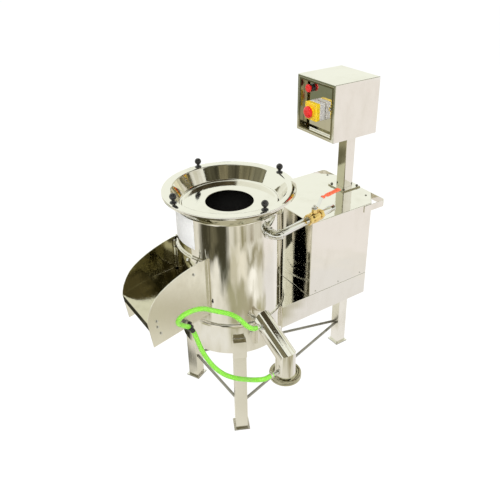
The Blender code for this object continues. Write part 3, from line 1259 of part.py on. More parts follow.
# The rinse hose's route between its two spigots, point by point, drum axis at zero
HOSE_ROUTE = (
    (-0.0939, -0.2472, 0.5434),
    (-0.1110, -0.2232, 0.5672),
    (-0.1248, -0.1941, 0.5742),
    (-0.1426, -0.1707, 0.5765),
    (-0.1626, -0.1563, 0.5821),
    (-0.1834, -0.1497, 0.5927),
    (-0.2088, -0.1505, 0.6089),
    (-0.2401, -0.1583, 0.6255),
    (-0.2719, -0.1628, 0.6324),
    (-0.2939, -0.1595, 0.6268),
    (-0.3085, -0.1520, 0.6135),
    (-0.3139, -0.1434, 0.5955),
    (-0.3090, -0.1352, 0.5766),
    (-0.2876, -0.1265, 0.5541),
    (-0.2607, -0.1229, 0.5313),
    (-0.2478, -0.1264, 0.5063),
    (-0.2404, -0.1362, 0.4724),
    (-0.2316, -0.1508, 0.4301),
    (-0.2177, -0.1665, 0.3895),
    (-0.1963, -0.1854, 0.3500),
    (-0.1734, -0.2042, 0.3249),
    (-0.1511, -0.2252, 0.3134),
    (-0.1329, -0.2500, 0.3149),
    (-0.1226, -0.2773, 0.3272),
    (-0.1121, -0.3161, 0.3490),
    (-0.0943, -0.3340, 0.3544),
)


def smooth_route(points, count):
    """Reads evenly spaced points off a centripetal curve through the route."""
    padded = [points[0] * 2 - points[1]] + points + [points[-1] * 2 - points[-2]]
    fine = []
    pieces = 12
    for index in range(1, len(padded) - 2):
        p0, p1, p2, p3 = padded[index - 1:index + 3]
        knots = [0.0]
        for a, b in ((p0, p1), (p1, p2), (p2, p3)):
            knots.append(knots[-1] + math.sqrt((b - a).length))
        for step in range(pieces):
            t = knots[1] + (knots[2] - knots[1]) * step / pieces
            a1 = p0.lerp(p1, (t - knots[0]) / (knots[1] - knots[0]))
            a2 = p1.lerp(p2, (t - knots[1]) / (knots[2] - knots[1]))
            a3 = p2.lerp(p3, (t - knots[2]) / (knots[3] - knots[2]))
            b1 = a1.lerp(a2, (t - knots[0]) / (knots[2] - knots[0]))
            b2 = a2.lerp(a3, (t - knots[1]) / (knots[3] - knots[1]))
            fine.append(b1.lerp(b2, (t - knots[1]) / (knots[2] - knots[1])))
    fine.append(points[-1])
    lengths = [0.0]
    for a, b in zip(fine, fine[1:]):
        lengths.append(lengths[-1] + (b - a).length)
    even = []
    place = 0
    for index in range(count):
        target = lengths[-1] * index / (count - 1)
        while place < len(fine) - 2 and lengths[place + 1] < target:
            place += 1
        share = (target - lengths[place]) / (lengths[place + 1] - lengths[place])
        even.append(fine[place].lerp(fine[place + 1], share))
    print("hose length %.4f m" % lengths[-1])
    return even


def make_hose(machine, green):
    route = [Vector(point) for point in HOSE_ROUTE]
    for line, first in ((top_spigot_line(), True), (end_spigot_line(), False)):
        origin, direction = line
        tip = origin + direction * (SPIGOT_LENGTH + SEAT_GAP)
        leads = [tip, tip + direction * HOSE_LEAD, tip + direction * HOSE_LEAD * 2]
        route = leads + route if first else route + leads[::-1]
    points = smooth_route(route, HOSE_POINTS)
    curve = bpy.data.curves.new("rinse_hose", "CURVE")
    curve.dimensions = "3D"
    curve.bevel_depth = HOSE_RADIUS
    curve.bevel_resolution = HOSE_BEVEL_SIDES
    curve.use_fill_caps = True
    spline = curve.splines.new("POLY")
    spline.points.add(len(points) - 1)
    for place, point in zip(spline.points, points):
        place.co = (*point, 1.0)
    spline.use_smooth = True
    curve.materials.append(green)
    hose = bpy.data.objects.new("rinse_hose", curve)
    bpy.context.scene.collection.objects.link(hose)
    hose.parent = machine
    return hose


def make_hose_clip(machine, black):
    """A ring that holds the hose on the chute's near panel, with a foot strip and a screw knob in front."""
    bore = HOSE_RADIUS + CLIP_SLACK
    tilt = math.radians(CLIP_TILT_DEG)
    lengthways = Vector((math.cos(tilt), 0.0, -math.sin(tilt)))
    centre = Vector((CLIP_X, HOSE_CLIP_Y, CLIP_Z))
    start = centre - lengthways * (CLIP_WIDTH / 2)
    ring = pipe(CLIP_WIDTH, bore + CLIP_WALL, bore, SMALL_ROUND_STEPS, along(start, lengthways))
    clip = add_object("hose_clip", ring, black, machine)
    back = CHUTE_HALF_WIDTH + SEAT_GAP
    half = CLIP_FOOT_LENGTH / 2
    foot = extruded(rectangle(-half, half, -CLIP_FOOT_WIDTH / 2, CLIP_FOOT_WIDTH / 2), back,
                    back + CLIP_WALL * 0.8)
    foot.transform(Matrix.Translation((CLIP_X, 0.0, CLIP_Z)) @ Matrix.Rotation(math.radians(90.0), 4, "X")
                   @ Matrix.Rotation(math.radians(90.0) - tilt, 4, "Z"))
    combine(clip, add_guide("clip_foot", foot, machine), "UNION")
    seat = -HOSE_CLIP_Y + bore + CLIP_WALL + SEAT_GAP
    facing = along((CLIP_X, 0.0, CLIP_Z), (0.0, -1.0, 0.0))
    knob = turned([
        (0.0, seat),
        (CLIP_KNOB_RADIUS * 0.5, seat),
        (CLIP_KNOB_RADIUS * 0.5, seat + CLIP_STAND_OFF),
        (CLIP_KNOB_RADIUS, seat + CLIP_STAND_OFF * 1.5),
        (CLIP_KNOB_RADIUS, seat + CLIP_KNOB_LENGTH * 0.75),
        (CLIP_KNOB_RADIUS * 0.7, seat + CLIP_KNOB_LENGTH),
        (0.0, seat + CLIP_KNOB_LENGTH),
    ], SMALL_ROUND_STEPS, facing)
    turner = add_object("clip_knob", knob, black, machine)
    set_pivot(turner, (CLIP_X, -seat, CLIP_Z))
    return turner


def chute_rear_x():
    inner = CHUTE_HALF_WIDTH - CHUTE_PANEL
    return -math.sqrt(DRUM_RADIUS ** 2 - inner ** 2) - SEAT_GAP


def make_chute(machine, steel):
    """Two side panels cut to one outline and a folded floor between them with a turned-down lip."""
    rear = chute_rear_x()
    reach = rear - CHUTE_FRONT_X
    height = CHUTE_PANEL_TOP_Z - CHUTE_PANEL_BOTTOM_Z
    outline = [(rear - share_x * reach, CHUTE_PANEL_BOTTOM_Z + share_z * height)
               for share_x, share_z in CHUTE_OUTLINE_SHARES]
    upright = Matrix.Rotation(math.radians(90.0), 4, "X")
    for name, side in (("chute_panel_near", -1), ("chute_panel_far", 1)):
        low_y = CHUTE_HALF_WIDTH - CHUTE_PANEL if side > 0 else -CHUTE_HALF_WIDTH
        bm = extruded(outline, -low_y - CHUTE_PANEL, -low_y, upright)
        panel = add_object(name, bm, steel, machine, smooth=False)
        edge = CHUTE_HALF_WIDTH * side
        ys = sorted((edge - CHUTE_PANEL / 2 * side, edge + CHUTE_REAR_FLANGE * side))
        flange = block((rear - CHUTE_PANEL, ys[0], outline[0][1]), (rear, ys[1], outline[1][1]))
        combine(panel, add_guide(name + "_flange", flange, machine), "UNION")
    half = CHUTE_HALF_WIDTH - CHUTE_PANEL - SEAT_GAP
    lip_low = CHUTE_FLOOR_FRONT_Z - CHUTE_LIP_DROP
    lip_x = CHUTE_FRONT_X + CHUTE_PANEL / 2
    path = [
        (rear + CUT_OVERRUN, CHUTE_FLOOR_REAR_Z),
        (CHUTE_FLOOR_BEND_X, CHUTE_FLOOR_BEND_Z),
        (lip_x, CHUTE_FLOOR_FRONT_Z),
        (lip_x + CHUTE_LIP_LEAN, lip_low),
    ]
    bm = extruded(ribbon(path, CHUTE_PANEL), -half, half, upright)
    floor = add_object("chute_floor", bm, steel, machine, smooth=False)
    radius = DOOR_INNER_RADIUS + SEAT_GAP * 2
    low = CHUTE_FLOOR_REAR_Z - CUT_OVERRUN * 2
    high = CHUTE_FLOOR_REAR_Z + CUT_OVERRUN * 2
    curve = turned([(0.0, low), (radius, low), (radius, high), (0.0, high)], BIG_ROUND_STEPS)
    combine(floor, add_guide("floor_seat", curve, machine))
    return floor


def knuckle_guides(machine, name, shares, leaf_radius):
    """Hinge barrels and the leaves that join them to a curved plate."""
    height = DOOR_TOP_Z - DOOR_BOTTOM_Z
    guides = []
    for index, (low_share, high_share) in enumerate(shares):
        low = DOOR_BOTTOM_Z + height * low_share
        high = DOOR_BOTTOM_Z + height * high_share
        barrel = turned([(0.0, low), (HINGE_BARREL_RADIUS, low), (HINGE_BARREL_RADIUS, high), (0.0, high)],
                        SMALL_ROUND_STEPS, Matrix.Translation(HINGE_POINT))
        guides.append(add_guide("%s_barrel_%d" % (name, index), barrel, machine))
        start = leaf_radius
        stop = Vector((HINGE_POINT.x, HINGE_POINT.y))
        leaf = extruded(ribbon([tuple(start.xy), tuple(stop)], HINGE_PIN_RADIUS), low, high)
        guides.append(add_guide("%s_leaf_%d" % (name, index), leaf, machine))
    return guides


def pin_bore_guide(machine):
    radius = HINGE_PIN_RADIUS + HINGE_PIN_GAP
    low = DOOR_BOTTOM_Z - CUT_OVERRUN * 2
    high = DOOR_TOP_Z + CUT_OVERRUN * 2
    bore = turned([(0.0, low), (radius, low), (radius, high), (0.0, high)], SMALL_ROUND_STEPS,
                  Matrix.Translation(HINGE_POINT))
    return add_guide("pin_bore", bore, machine)


def keeper_guide(machine):
    """The hooked keeper on the frame that the latch's tongue slips behind."""
    frame_outer = DRUM_RADIUS + SEAT_GAP + FRAME_THICKNESS
    tongue_top = math.hypot(LATCH_SEAT_RADIUS + LATCH_TONGUE_THICKNESS, LATCH_TONGUE_LENGTH)
    hook_low = tongue_top + RUNNING_GAP * 2 - frame_outer
    hook_high = hook_low + LATCH_TONGUE_THICKNESS
    sunk = -FRAME_THICKNESS / 2
    outline = [
        (sunk, -KEEPER_WIDTH / 2), (hook_high, -KEEPER_WIDTH / 2 - KEEPER_HOOK),
        (hook_high, KEEPER_WIDTH / 2), (sunk, KEEPER_WIDTH / 2),
    ]
    outline[1:2] = [(hook_low, -KEEPER_WIDTH / 2), (hook_low, -KEEPER_WIDTH / 2 - KEEPER_HOOK),
                    (hook_high, -KEEPER_WIDTH / 2 - KEEPER_HOOK)]
    place = Matrix.Translation(polar(KEEPER_ANGLE_DEG, frame_outer, LATCH_Z))
    place = place @ Matrix.Rotation(math.radians(KEEPER_ANGLE_DEG), 4, "Z")
    return add_guide("keeper", extruded(outline, -KEEPER_LENGTH / 2, KEEPER_LENGTH / 2, place), machine)


def make_outlet(machine, steel, bright, mouth):
    front = 180.0
    frame_inner = DRUM_RADIUS + SEAT_GAP
    frame_bm = arc_plate(front - FRAME_HALF_ANGLE_DEG, front + FRAME_HALF_ANGLE_DEG, frame_inner,
                         frame_inner + FRAME_THICKNESS, FRAME_BOTTOM_Z, FRAME_TOP_Z, DOOR_STEPS)
    frame = add_object("outlet_frame", frame_bm, steel, machine)
    combine(frame, mouth)
    bore = pin_bore_guide(machine)
    frame_root = polar(HINGE_ANGLE_DEG, frame_inner + FRAME_THICKNESS / 2)
    for guide in knuckle_guides(machine, "frame", HINGE_KNUCKLE_SHARES, frame_root):
        combine(frame, guide, "UNION")
    combine(frame, keeper_guide(machine), "UNION")
    combine(frame, bore)

    door_bm = arc_plate(front - DOOR_HALF_ANGLE_DEG, front + DOOR_HALF_ANGLE_DEG, DOOR_INNER_RADIUS,
                        DOOR_OUTER_RADIUS, DOOR_BOTTOM_Z, DOOR_TOP_Z, DOOR_STEPS)
    door = add_object("discharge_door", door_bm, steel, machine)
    root_angle = front - DOOR_HALF_ANGLE_DEG + math.degrees(DOOR_THICKNESS / DOOR_OUTER_RADIUS)
    door_root = polar(root_angle, DOOR_INNER_RADIUS + DOOR_THICKNESS / 2)
    for guide in knuckle_guides(machine, "door", HINGE_LEAF_SHARES, door_root):
        combine(door, guide, "UNION")
    combine(door, bore)
    set_pivot(door, (HINGE_POINT.x, HINGE_POINT.y, DOOR_BOTTOM_Z))

    low = DOOR_BOTTOM_Z
    high = DOOR_TOP_Z
    head = HINGE_BARREL_RADIUS
    pin = turned([
        (0.0, low), (HINGE_PIN_RADIUS, low), (HINGE_PIN_RADIUS, high), (head, high),
        (head, high + HINGE_PIN_RADIUS), (0.0, high + HINGE_PIN_RADIUS * 1.3),
    ], SMALL_ROUND_STEPS, Matrix.Translation(HINGE_POINT))
    add_object("hinge_pin", pin, bright, machine)
    return door


def make_latch(machine, bright):
    """A turning latch on the door; a quarter turn brings its hanging tongue behind the keeper."""
    outward = polar(LATCH_ANGLE_DEG, 1.0)
    place = along(polar(LATCH_ANGLE_DEG, LATCH_SEAT_RADIUS, LATCH_Z), outward)
    boss = turned([
        (0.0, 0.0), (LATCH_BOSS_RADIUS, 0.0), (LATCH_BOSS_RADIUS, LATCH_BOSS_HEIGHT * 0.7),
        (LATCH_BOSS_RADIUS * 0.7, LATCH_BOSS_HEIGHT), (0.0, LATCH_BOSS_HEIGHT),
    ], SMALL_ROUND_STEPS, place)
    latch = add_object("door_latch", boss, bright, machine)
    foot = polar(LATCH_ANGLE_DEG, LATCH_SEAT_RADIUS + LATCH_BOSS_HEIGHT * 0.6, LATCH_Z)
    lean = outward * LATCH_ARM_OUT + Vector((0.0, 0.0, LATCH_ARM_RISE))
    length = lean.length
    rod = turned([
        (0.0, 0.0), (LATCH_ARM_RADIUS, 0.0), (LATCH_ARM_RADIUS, length - LATCH_ARM_RADIUS * 5),
        (LATCH_ARM_RADIUS * 1.8, length - LATCH_ARM_RADIUS * 4), (LATCH_ARM_RADIUS * 1.8, length - LATCH_ARM_RADIUS),
        (LATCH_ARM_RADIUS, length), (0.0, length),
    ], SMALL_ROUND_STEPS, along(foot, lean, outward))
    combine(latch, add_guide("latch_rod", rod, machine), "UNION")
    turn = Matrix.Translation(polar(LATCH_ANGLE_DEG, LATCH_SEAT_RADIUS, LATCH_Z))
    turn = turn @ Matrix.Rotation(math.radians(LATCH_ANGLE_DEG), 4, "Z")
    tongue = block((RUNNING_GAP, -LATCH_TONGUE_WIDTH / 2, -LATCH_TONGUE_LENGTH),
                   (LATCH_TONGUE_THICKNESS, LATCH_TONGUE_WIDTH / 2, 0.0))
    tongue.transform(turn)
    combine(latch, add_guide("latch_tongue", tongue, machine), "UNION")
    set_pivot(latch, polar(LATCH_ANGLE_DEG, LATCH_SEAT_RADIUS, LATCH_Z))
    return latch


def leg_places():
    """Each leg's name, centre, turn about Z and top height."""
    return (
        ("near", polar(-LEG_ANGLE_DEG, LEG_CENTRE_RADIUS), -LEG_ANGLE_DEG, LEG_TOP_Z),
        ("far", polar(LEG_ANGLE_DEG, LEG_CENTRE_RADIUS), LEG_ANGLE_DEG, LEG_TOP_Z),
        ("rear", Vector((REAR_LEG_X, 0.0, 0.0)), 0.0, CHASSIS_TOP_Z - CHASSIS_WALL - SEAT_GAP),
    )


def make_legs(machine, steel):
    outer = rounded_rectangle(LEG_SIZE, LEG_SIZE, LEG_EDGE_ROUND, 2)
    inside = LEG_SIZE - LEG_WALL * 2
    inner = rounded_rectangle(inside, inside, LEG_EDGE_ROUND / 2, 2)
    guides = []
    under = turned([(0.0, BASE_BOTTOM_Z - SEAT_GAP), (BASE_RADIUS + SEAT_GAP, BASE_BOTTOM_Z - SEAT_GAP),
                    (BASE_RADIUS + SEAT_GAP, LEG_TOP_Z + CUT_OVERRUN), (0.0, LEG_TOP_Z + CUT_OVERRUN)], BIG_ROUND_STEPS)
    ring_room = add_guide("ring_room", under, machine)
    for name, centre, turn, top in leg_places():
        place = Matrix.Translation(centre) @ Matrix.Rotation(math.radians(turn), 4, "Z")
        tube = framed(outer, inner, FOOT_THICKNESS + SEAT_GAP, top, place)
        leg = add_object("leg_" + name, tube, steel, machine)
        if top == LEG_TOP_Z:
            combine(leg, ring_room)
        half = FOOT_SIZE / 2
        foot = extruded(rectangle(-half, half, -half, half), 0.0, FOOT_THICKNESS, place)
        add_object("foot_" + name, foot, steel, machine, smooth=False)
        wide = LEG_SIZE / 2 + SEAT_GAP
        room = extruded(rectangle(-wide, wide, -wide, wide), BRACE_Z - BRACE_RADIUS * 2, BRACE_Z + BRACE_RADIUS * 2,
                        place)
        guides.append(add_guide("leg_room_" + name, room, machine))
    return guides


def make_braces(machine, dark, guides):
    places = leg_places()
    for first, second in ((0, 1), (0, 2), (1, 2)):
        start = places[first][1] + Vector((0.0, 0.0, BRACE_Z))
        stop = places[second][1] + Vector((0.0, 0.0, BRACE_Z))
        length = (stop - start).length
        rod = turned([(0.0, 0.0), (BRACE_RADIUS, 0.0), (BRACE_RADIUS, length), (0.0, length)], BRACE_STEPS,
                     along(start, stop - start))
        brace = add_object("brace_%s_%s" % (places[first][0], places[second][0]), rod, dark, machine)
        combine(brace, guides[first])
        combine(brace, guides[second])


def centre_machine(machine):
    """Puts the origin under the middle of the outline, the free hose aside."""
    bpy.context.view_layer.update()
    graph = bpy.context.evaluated_depsgraph_get()
    lows = [math.inf, math.inf]
    highs = [-math.inf, -math.inf]
    for piece in bpy.context.scene.objects:
        if piece.type != "MESH" or piece.hide_render:
            continue
        mesh = piece.evaluated_get(graph).to_mesh()
        for vertex in mesh.vertices:
            place = piece.matrix_world @ vertex.co
            for axis in range(2):
                lows[axis] = min(lows[axis], place[axis])
                highs[axis] = max(highs[axis], place[axis])
        piece.evaluated_get(graph).to_mesh_clear()
    machine.location = (-(lows[0] + highs[0]) / 2, -(lows[1] + highs[1]) / 2, 0.0)
    print("machine shift", tuple(round(value, 6) for value in machine.location))


def build():
    for item in list(bpy.data.objects):
        bpy.data.objects.remove(item, do_unlink=True)
    steel = make_material("polished_stainless", (0.78, 0.78, 0.76), 0.08, 1.0)
    satin = make_material("satin_stainless", (0.66, 0.66, 0.64), 0.28, 1.0)
    chrome = make_material("chrome", (0.80, 0.80, 0.79), 0.12, 1.0)
    brass = make_material("brass", (0.72, 0.53, 0.24), 0.3, 1.0)
    black = make_material("black_plastic", (0.02, 0.02, 0.02), 0.35, 0.0)
    grit = make_material("abrasive", (0.16, 0.15, 0.14), 0.95, 0.0)
    iron = make_material("cast_iron", (0.25, 0.26, 0.27), 0.6, 1.0)
    rubber = make_material("rubber", (0.025, 0.025, 0.025), 0.7, 0.0)
    paint = make_material("motor_paint", (0.30, 0.33, 0.36), 0.45, 0.0)
    grey = make_material("grey_plastic", (0.72, 0.72, 0.70), 0.4, 0.0)
    yellow = make_material("yellow_plastic", (0.95, 0.72, 0.02), 0.35, 0.0)
    red = make_material("red_plastic", (0.80, 0.02, 0.03), 0.3, 0.0)
    green = make_material("green_hose", (0.10, 0.62, 0.05), 0.35, 0.0)
    dark = make_material("dark_rod", (0.22, 0.22, 0.22), 0.4, 1.0)

    machine = bpy.data.objects.new("machine", None)
    bpy.context.scene.collection.objects.link(machine)
    mouth = outlet_guide(machine, "outlet_mouth")
    drain_hole = drain_guide(machine)
    stud_holes = [stud_hole_guide(machine, index) for index in range(len(KNOB_NAMES))]
    make_drum_shell(machine, steel, [mouth, drain_hole] + stud_holes)
    make_base_ring(machine, steel, drain_hole)
    make_hopper(machine, steel, stud_holes)
    for index in range(len(KNOB_NAMES)):
        make_knob(machine, black, index)
    make_lining(machine, grit, mouth)
    make_turntable(machine, grit)
    make_main_shaft(machine, chrome)
    make_bearing_housing(machine, iron)
    make_driven_pulley(machine, iron)
    make_drive_pulley(machine, iron)
    make_belt(machine, rubber)
    make_motor(machine, paint)
    make_chassis(machine, steel)
    make_motor_cover(machine, steel)
    make_corner_strip(machine, steel, "strip_near", -1)
    make_corner_strip(machine, steel, "strip_far", 1)
    make_post(machine, satin)
    make_control_box(machine, steel)
    make_emergency_stop(machine, grey, yellow, red)
    make_push_button(machine, black, red)
    make_inlet(machine, chrome)
    make_valve(machine, brass, chrome, red)
    make_drain(machine, steel)
    make_spigot(machine, chrome, "spigot_top", top_spigot_line())
    make_spigot(machine, chrome, "spigot_end", end_spigot_line())
    make_hose(machine, green)
    make_hose_clip(machine, black)
    make_chute(machine, steel)
    make_outlet(machine, steel, chrome, mouth)
    make_latch(machine, chrome)
    room_guides = make_legs(machine, satin)
    make_braces(machine, dark, room_guides)
    centre_machine(machine)


build()
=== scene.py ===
"""Looks of the potato peeling machine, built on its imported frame.

Metres, the same frame as the solids. Places are worked out from the drum's axis, because every part of
the machine was laid out from it, and each finished mesh carries its place in its vertices.
"""

import math

import bmesh
import bpy
from mathutils import Matrix, Vector


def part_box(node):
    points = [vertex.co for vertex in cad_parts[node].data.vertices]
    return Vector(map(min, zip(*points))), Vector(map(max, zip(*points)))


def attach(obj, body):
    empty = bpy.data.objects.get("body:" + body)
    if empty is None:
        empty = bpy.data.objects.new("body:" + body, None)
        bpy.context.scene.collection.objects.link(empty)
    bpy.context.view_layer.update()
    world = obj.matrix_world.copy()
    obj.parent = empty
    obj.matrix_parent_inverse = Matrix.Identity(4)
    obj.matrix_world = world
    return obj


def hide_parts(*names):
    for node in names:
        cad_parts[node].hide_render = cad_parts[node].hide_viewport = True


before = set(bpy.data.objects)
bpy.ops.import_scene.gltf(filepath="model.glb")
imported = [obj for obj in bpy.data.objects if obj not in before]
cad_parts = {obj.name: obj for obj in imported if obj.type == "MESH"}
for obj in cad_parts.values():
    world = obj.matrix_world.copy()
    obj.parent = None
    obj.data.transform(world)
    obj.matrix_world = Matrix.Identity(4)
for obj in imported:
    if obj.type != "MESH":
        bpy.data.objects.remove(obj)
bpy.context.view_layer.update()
SHAFT_LOW, SHAFT_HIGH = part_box("main_shaft")
AXIS = Vector(((SHAFT_LOW.x + SHAFT_HIGH.x) / 2, (SHAFT_LOW.y + SHAFT_HIGH.y) / 2, 0.0))
TO_MACHINE = Matrix.Translation(AXIS)
GAP = 0.0003
EDGE_ANGLE = math.radians(28.0)


# Node groups shared by the finishes

GROUP_OUTPUTS = (("Colour", "NodeSocketColor"), ("Roughness", "NodeSocketFloat"),
                 ("Height", "NodeSocketFloat"))


def new_group(name, inputs):
    """An empty group with its own inputs, and the colour, roughness and height that each one puts out."""
    group = bpy.data.node_groups.new(name, "ShaderNodeTree")
    for label, value in inputs:
        kind = "NodeSocketColor" if isinstance(value, tuple) else "NodeSocketFloat"
        socket = group.interface.new_socket(name=label, in_out="INPUT", socket_type=kind)
        socket.default_value = value
    for label, kind in GROUP_OUTPUTS:
        group.interface.new_socket(name=label, in_out="OUTPUT", socket_type=kind)
    start = group.nodes.new("NodeGroupInput")
    end = group.nodes.new("NodeGroupOutput")
    return group, start.outputs, end.inputs


def feed(tree, socket, value):
    """Links a value that changes over the surface, or sets a plain one."""
    if hasattr(value, "is_output"):
        tree.links.new(value, socket)
    elif isinstance(value, tuple):
        socket.default_value = (*value, 1.0)[:4]
    else:
        socket.default_value = value


TEXTURE_ROUGHNESS = 0.55


def texture(tree, kind, scale, detail=3.0, stretch=None):
    """A procedural texture read in metres on the piece, stretched along an axis if asked."""
    place = tree.nodes.new("ShaderNodeTexCoord").outputs["Object"]
    if stretch is not None:
        mapping = tree.nodes.new("ShaderNodeMapping")
        mapping.inputs["Scale"].default_value = stretch
        tree.links.new(place, mapping.inputs["Vector"])
        place = mapping.outputs["Vector"]
    node = tree.nodes.new(kind)
    tree.links.new(place, node.inputs["Vector"])
    feed(tree, node.inputs["Scale"], scale)
    if "Detail" in node.inputs:
        node.inputs["Detail"].default_value = detail
    if "Roughness" in node.inputs:
        node.inputs["Roughness"].default_value = TEXTURE_ROUGHNESS
    return node


def noise(tree, scale, detail, stretch=None):
    return texture(tree, "ShaderNodeTexNoise", scale, detail, stretch).outputs["Fac"]


def cells(tree, scale):
    return texture(tree, "ShaderNodeTexVoronoi", scale).outputs["Distance"]


def place_on_piece(tree):
    """The piece's own X, Y and Z at each point."""
    place = tree.nodes.new("ShaderNodeSeparateXYZ")
    tree.links.new(tree.nodes.new("ShaderNodeTexCoord").outputs["Object"], place.inputs[0])
    return place.outputs


def math_node(tree, operation, first, second=None, clamp=False):
    node = tree.nodes.new("ShaderNodeMath")
    node.operation = operation
    node.use_clamp = clamp
    for socket, value in zip(node.inputs, (first, second)):
        if value is not None:
            feed(tree, socket, value)
    return node.outputs[0]


def ramp(tree, source, low, high, low_value=0.0, high_value=1.0):
    node = tree.nodes.new("ShaderNodeMapRange")
    for label, value in (("Value", source), ("From Min", low), ("From Max", high), ("To Min", low_value),
                         ("To Max", high_value)):
        feed(tree, node.inputs[label], value)
    return node.outputs["Result"]


def mix_colour(tree, factor, first, second):
    node = tree.nodes.new("ShaderNodeMix")
    node.data_type = "RGBA"
    for index, value in ((0, factor), (6, first), (7, second)):
        feed(tree, node.inputs[index], value)
    return node.outputs[2]


def build_sheet_group():
    """Handled metal sheet: slow waviness, rubbing marks, water spots and fine scratches."""
    tree, given, out = new_group(
        "handled_sheet",
        (("Colour", (0.78, 0.77, 0.74, 1.0)), ("Stain", (0.55, 0.53, 0.48, 1.0)), ("Smooth", 0.08),
         ("Dull", 0.26), ("Wave Height", 0.35), ("Grain Height", 0.05)),
    )
    cloud = noise(tree, 5.0, 4.0)
    rubbed = noise(tree, 26.0, 5.0, (1.0, 1.0, 0.45))
    spots = cells(tree, 120.0)
    scratch = noise(tree, 240.0, 2.0, (1.0, 1.0, 0.04))
    wave = noise(tree, 2.6, 1.0)
    handled = math_node(tree, "MULTIPLY", ramp(tree, cloud, 0.42, 0.72), ramp(tree, rubbed, 0.38, 0.68))
    spotted = math_node(tree, "MULTIPLY", ramp(tree, spots, 0.10, 0.05), ramp(tree, cloud, 0.55, 0.70))
    marks = math_node(tree, "MAXIMUM", handled, math_node(tree, "MULTIPLY", spotted, 0.7), clamp=True)
    stained = math_node(tree, "MULTIPLY", marks, 0.55)
    tree.links.new(mix_colour(tree, stained, given["Colour"], given["Stain"]), out["Colour"])
    spread = math_node(tree, "SUBTRACT", given["Dull"], given["Smooth"])
    scuffed = math_node(tree, "ADD", marks, ramp(tree, scratch, 0.6, 0.8, 0.0, 0.35))
    dull = math_node(tree, "MULTIPLY", spread, scuffed)
    tree.links.new(math_node(tree, "ADD", given["Smooth"], dull, clamp=True), out["Roughness"])
    fine = math_node(tree, "MULTIPLY", ramp(tree, scratch, 0.5, 0.75), given["Grain Height"])
    slow = math_node(tree, "MULTIPLY", wave, given["Wave Height"])
    tree.links.new(math_node(tree, "ADD", fine, slow), out["Height"])
    return tree


def build_moulded_group():
    """Moulded plastic or paint: faint mottling, fine texture and mottled dust."""
    tree, given, out = new_group(
        "moulded",
        (("Colour", (0.1, 0.1, 0.1, 1.0)), ("Dust", (0.45, 0.43, 0.38, 1.0)), ("Smooth", 0.3),
         ("Dusty", 0.15), ("Texture Scale", 900.0), ("Texture Height", 0.1)),
    )
    mottle = noise(tree, 60.0, 4.0)
    grain = noise(tree, given["Texture Scale"], 2.0)
    dust = math_node(tree, "MULTIPLY", ramp(tree, mottle, 0.45, 0.75), given["Dusty"])
    tree.links.new(mix_colour(tree, dust, given["Colour"], given["Dust"]), out["Colour"])
    rough = math_node(tree, "ADD", given["Smooth"], ramp(tree, mottle, 0.35, 0.7, 0.0, 0.18), clamp=True)
    tree.links.new(rough, out["Roughness"])
    tree.links.new(math_node(tree, "MULTIPLY", grain, given["Texture Height"]), out["Height"])
    return tree


def build_cast_group():
    """Cast or bonded surface: lumps, pits and a coarse grain."""
    tree, given, out = new_group(
        "cast",
        (("Colour", (0.2, 0.2, 0.2, 1.0)), ("Deep Colour", (0.08, 0.08, 0.08, 1.0)), ("Smooth", 0.55),
         ("Lump Scale", 260.0), ("Lump Height", 0.6)),
    )
    lumps = cells(tree, given["Lump Scale"])
    cloud = noise(tree, 45.0, 5.0)
    worn = ramp(tree, cloud, 0.2, 0.8, 0.4, 1.0)
    depth = math_node(tree, "MULTIPLY", ramp(tree, lumps, 0.0, 0.7, 1.0, 0.0), worn)
    colour = mix_colour(tree, ramp(tree, depth, 0.15, 0.7), given["Deep Colour"], given["Colour"])
    tree.links.new(colour, out["Colour"])
    rough = math_node(tree, "ADD", given["Smooth"], ramp(tree, cloud, 0.3, 0.7, 0.0, 0.25), clamp=True)
    tree.links.new(rough, out["Roughness"])
    tree.links.new(math_node(tree, "MULTIPLY", depth, given["Lump Height"]), out["Height"])
    return tree


GROUPS = {"sheet": build_sheet_group(), "moulded": build_moulded_group(), "cast": build_cast_group()}


def finish_from(group, name, settings, metallic, bump, coat=0.0):
    """A finish from one of the groups, with its own settings and the depth of its bumps in metres."""
    material = bpy.data.materials.new(name)
    material.use_nodes = True
    tree = material.node_tree
    shader = tree.nodes["Principled BSDF"]
    shader.inputs["Metallic"].default_value = metallic
    shader.inputs["Coat Weight"].default_value = coat
    node = tree.nodes.new("ShaderNodeGroup")
    node.node_tree = GROUPS[group]
    for label, value in settings.items():
        feed(tree, node.inputs[label], value)
    tree.links.new(node.outputs["Colour"], shader.inputs["Base Color"])
    tree.links.new(node.outputs["Roughness"], shader.inputs["Roughness"])
    relief = tree.nodes.new("ShaderNodeBump")
    relief.inputs["Distance"].default_value = bump
    tree.links.new(node.outputs["Height"], relief.inputs["Height"])
    tree.links.new(relief.outputs["Normal"], shader.inputs["Normal"])
    return material


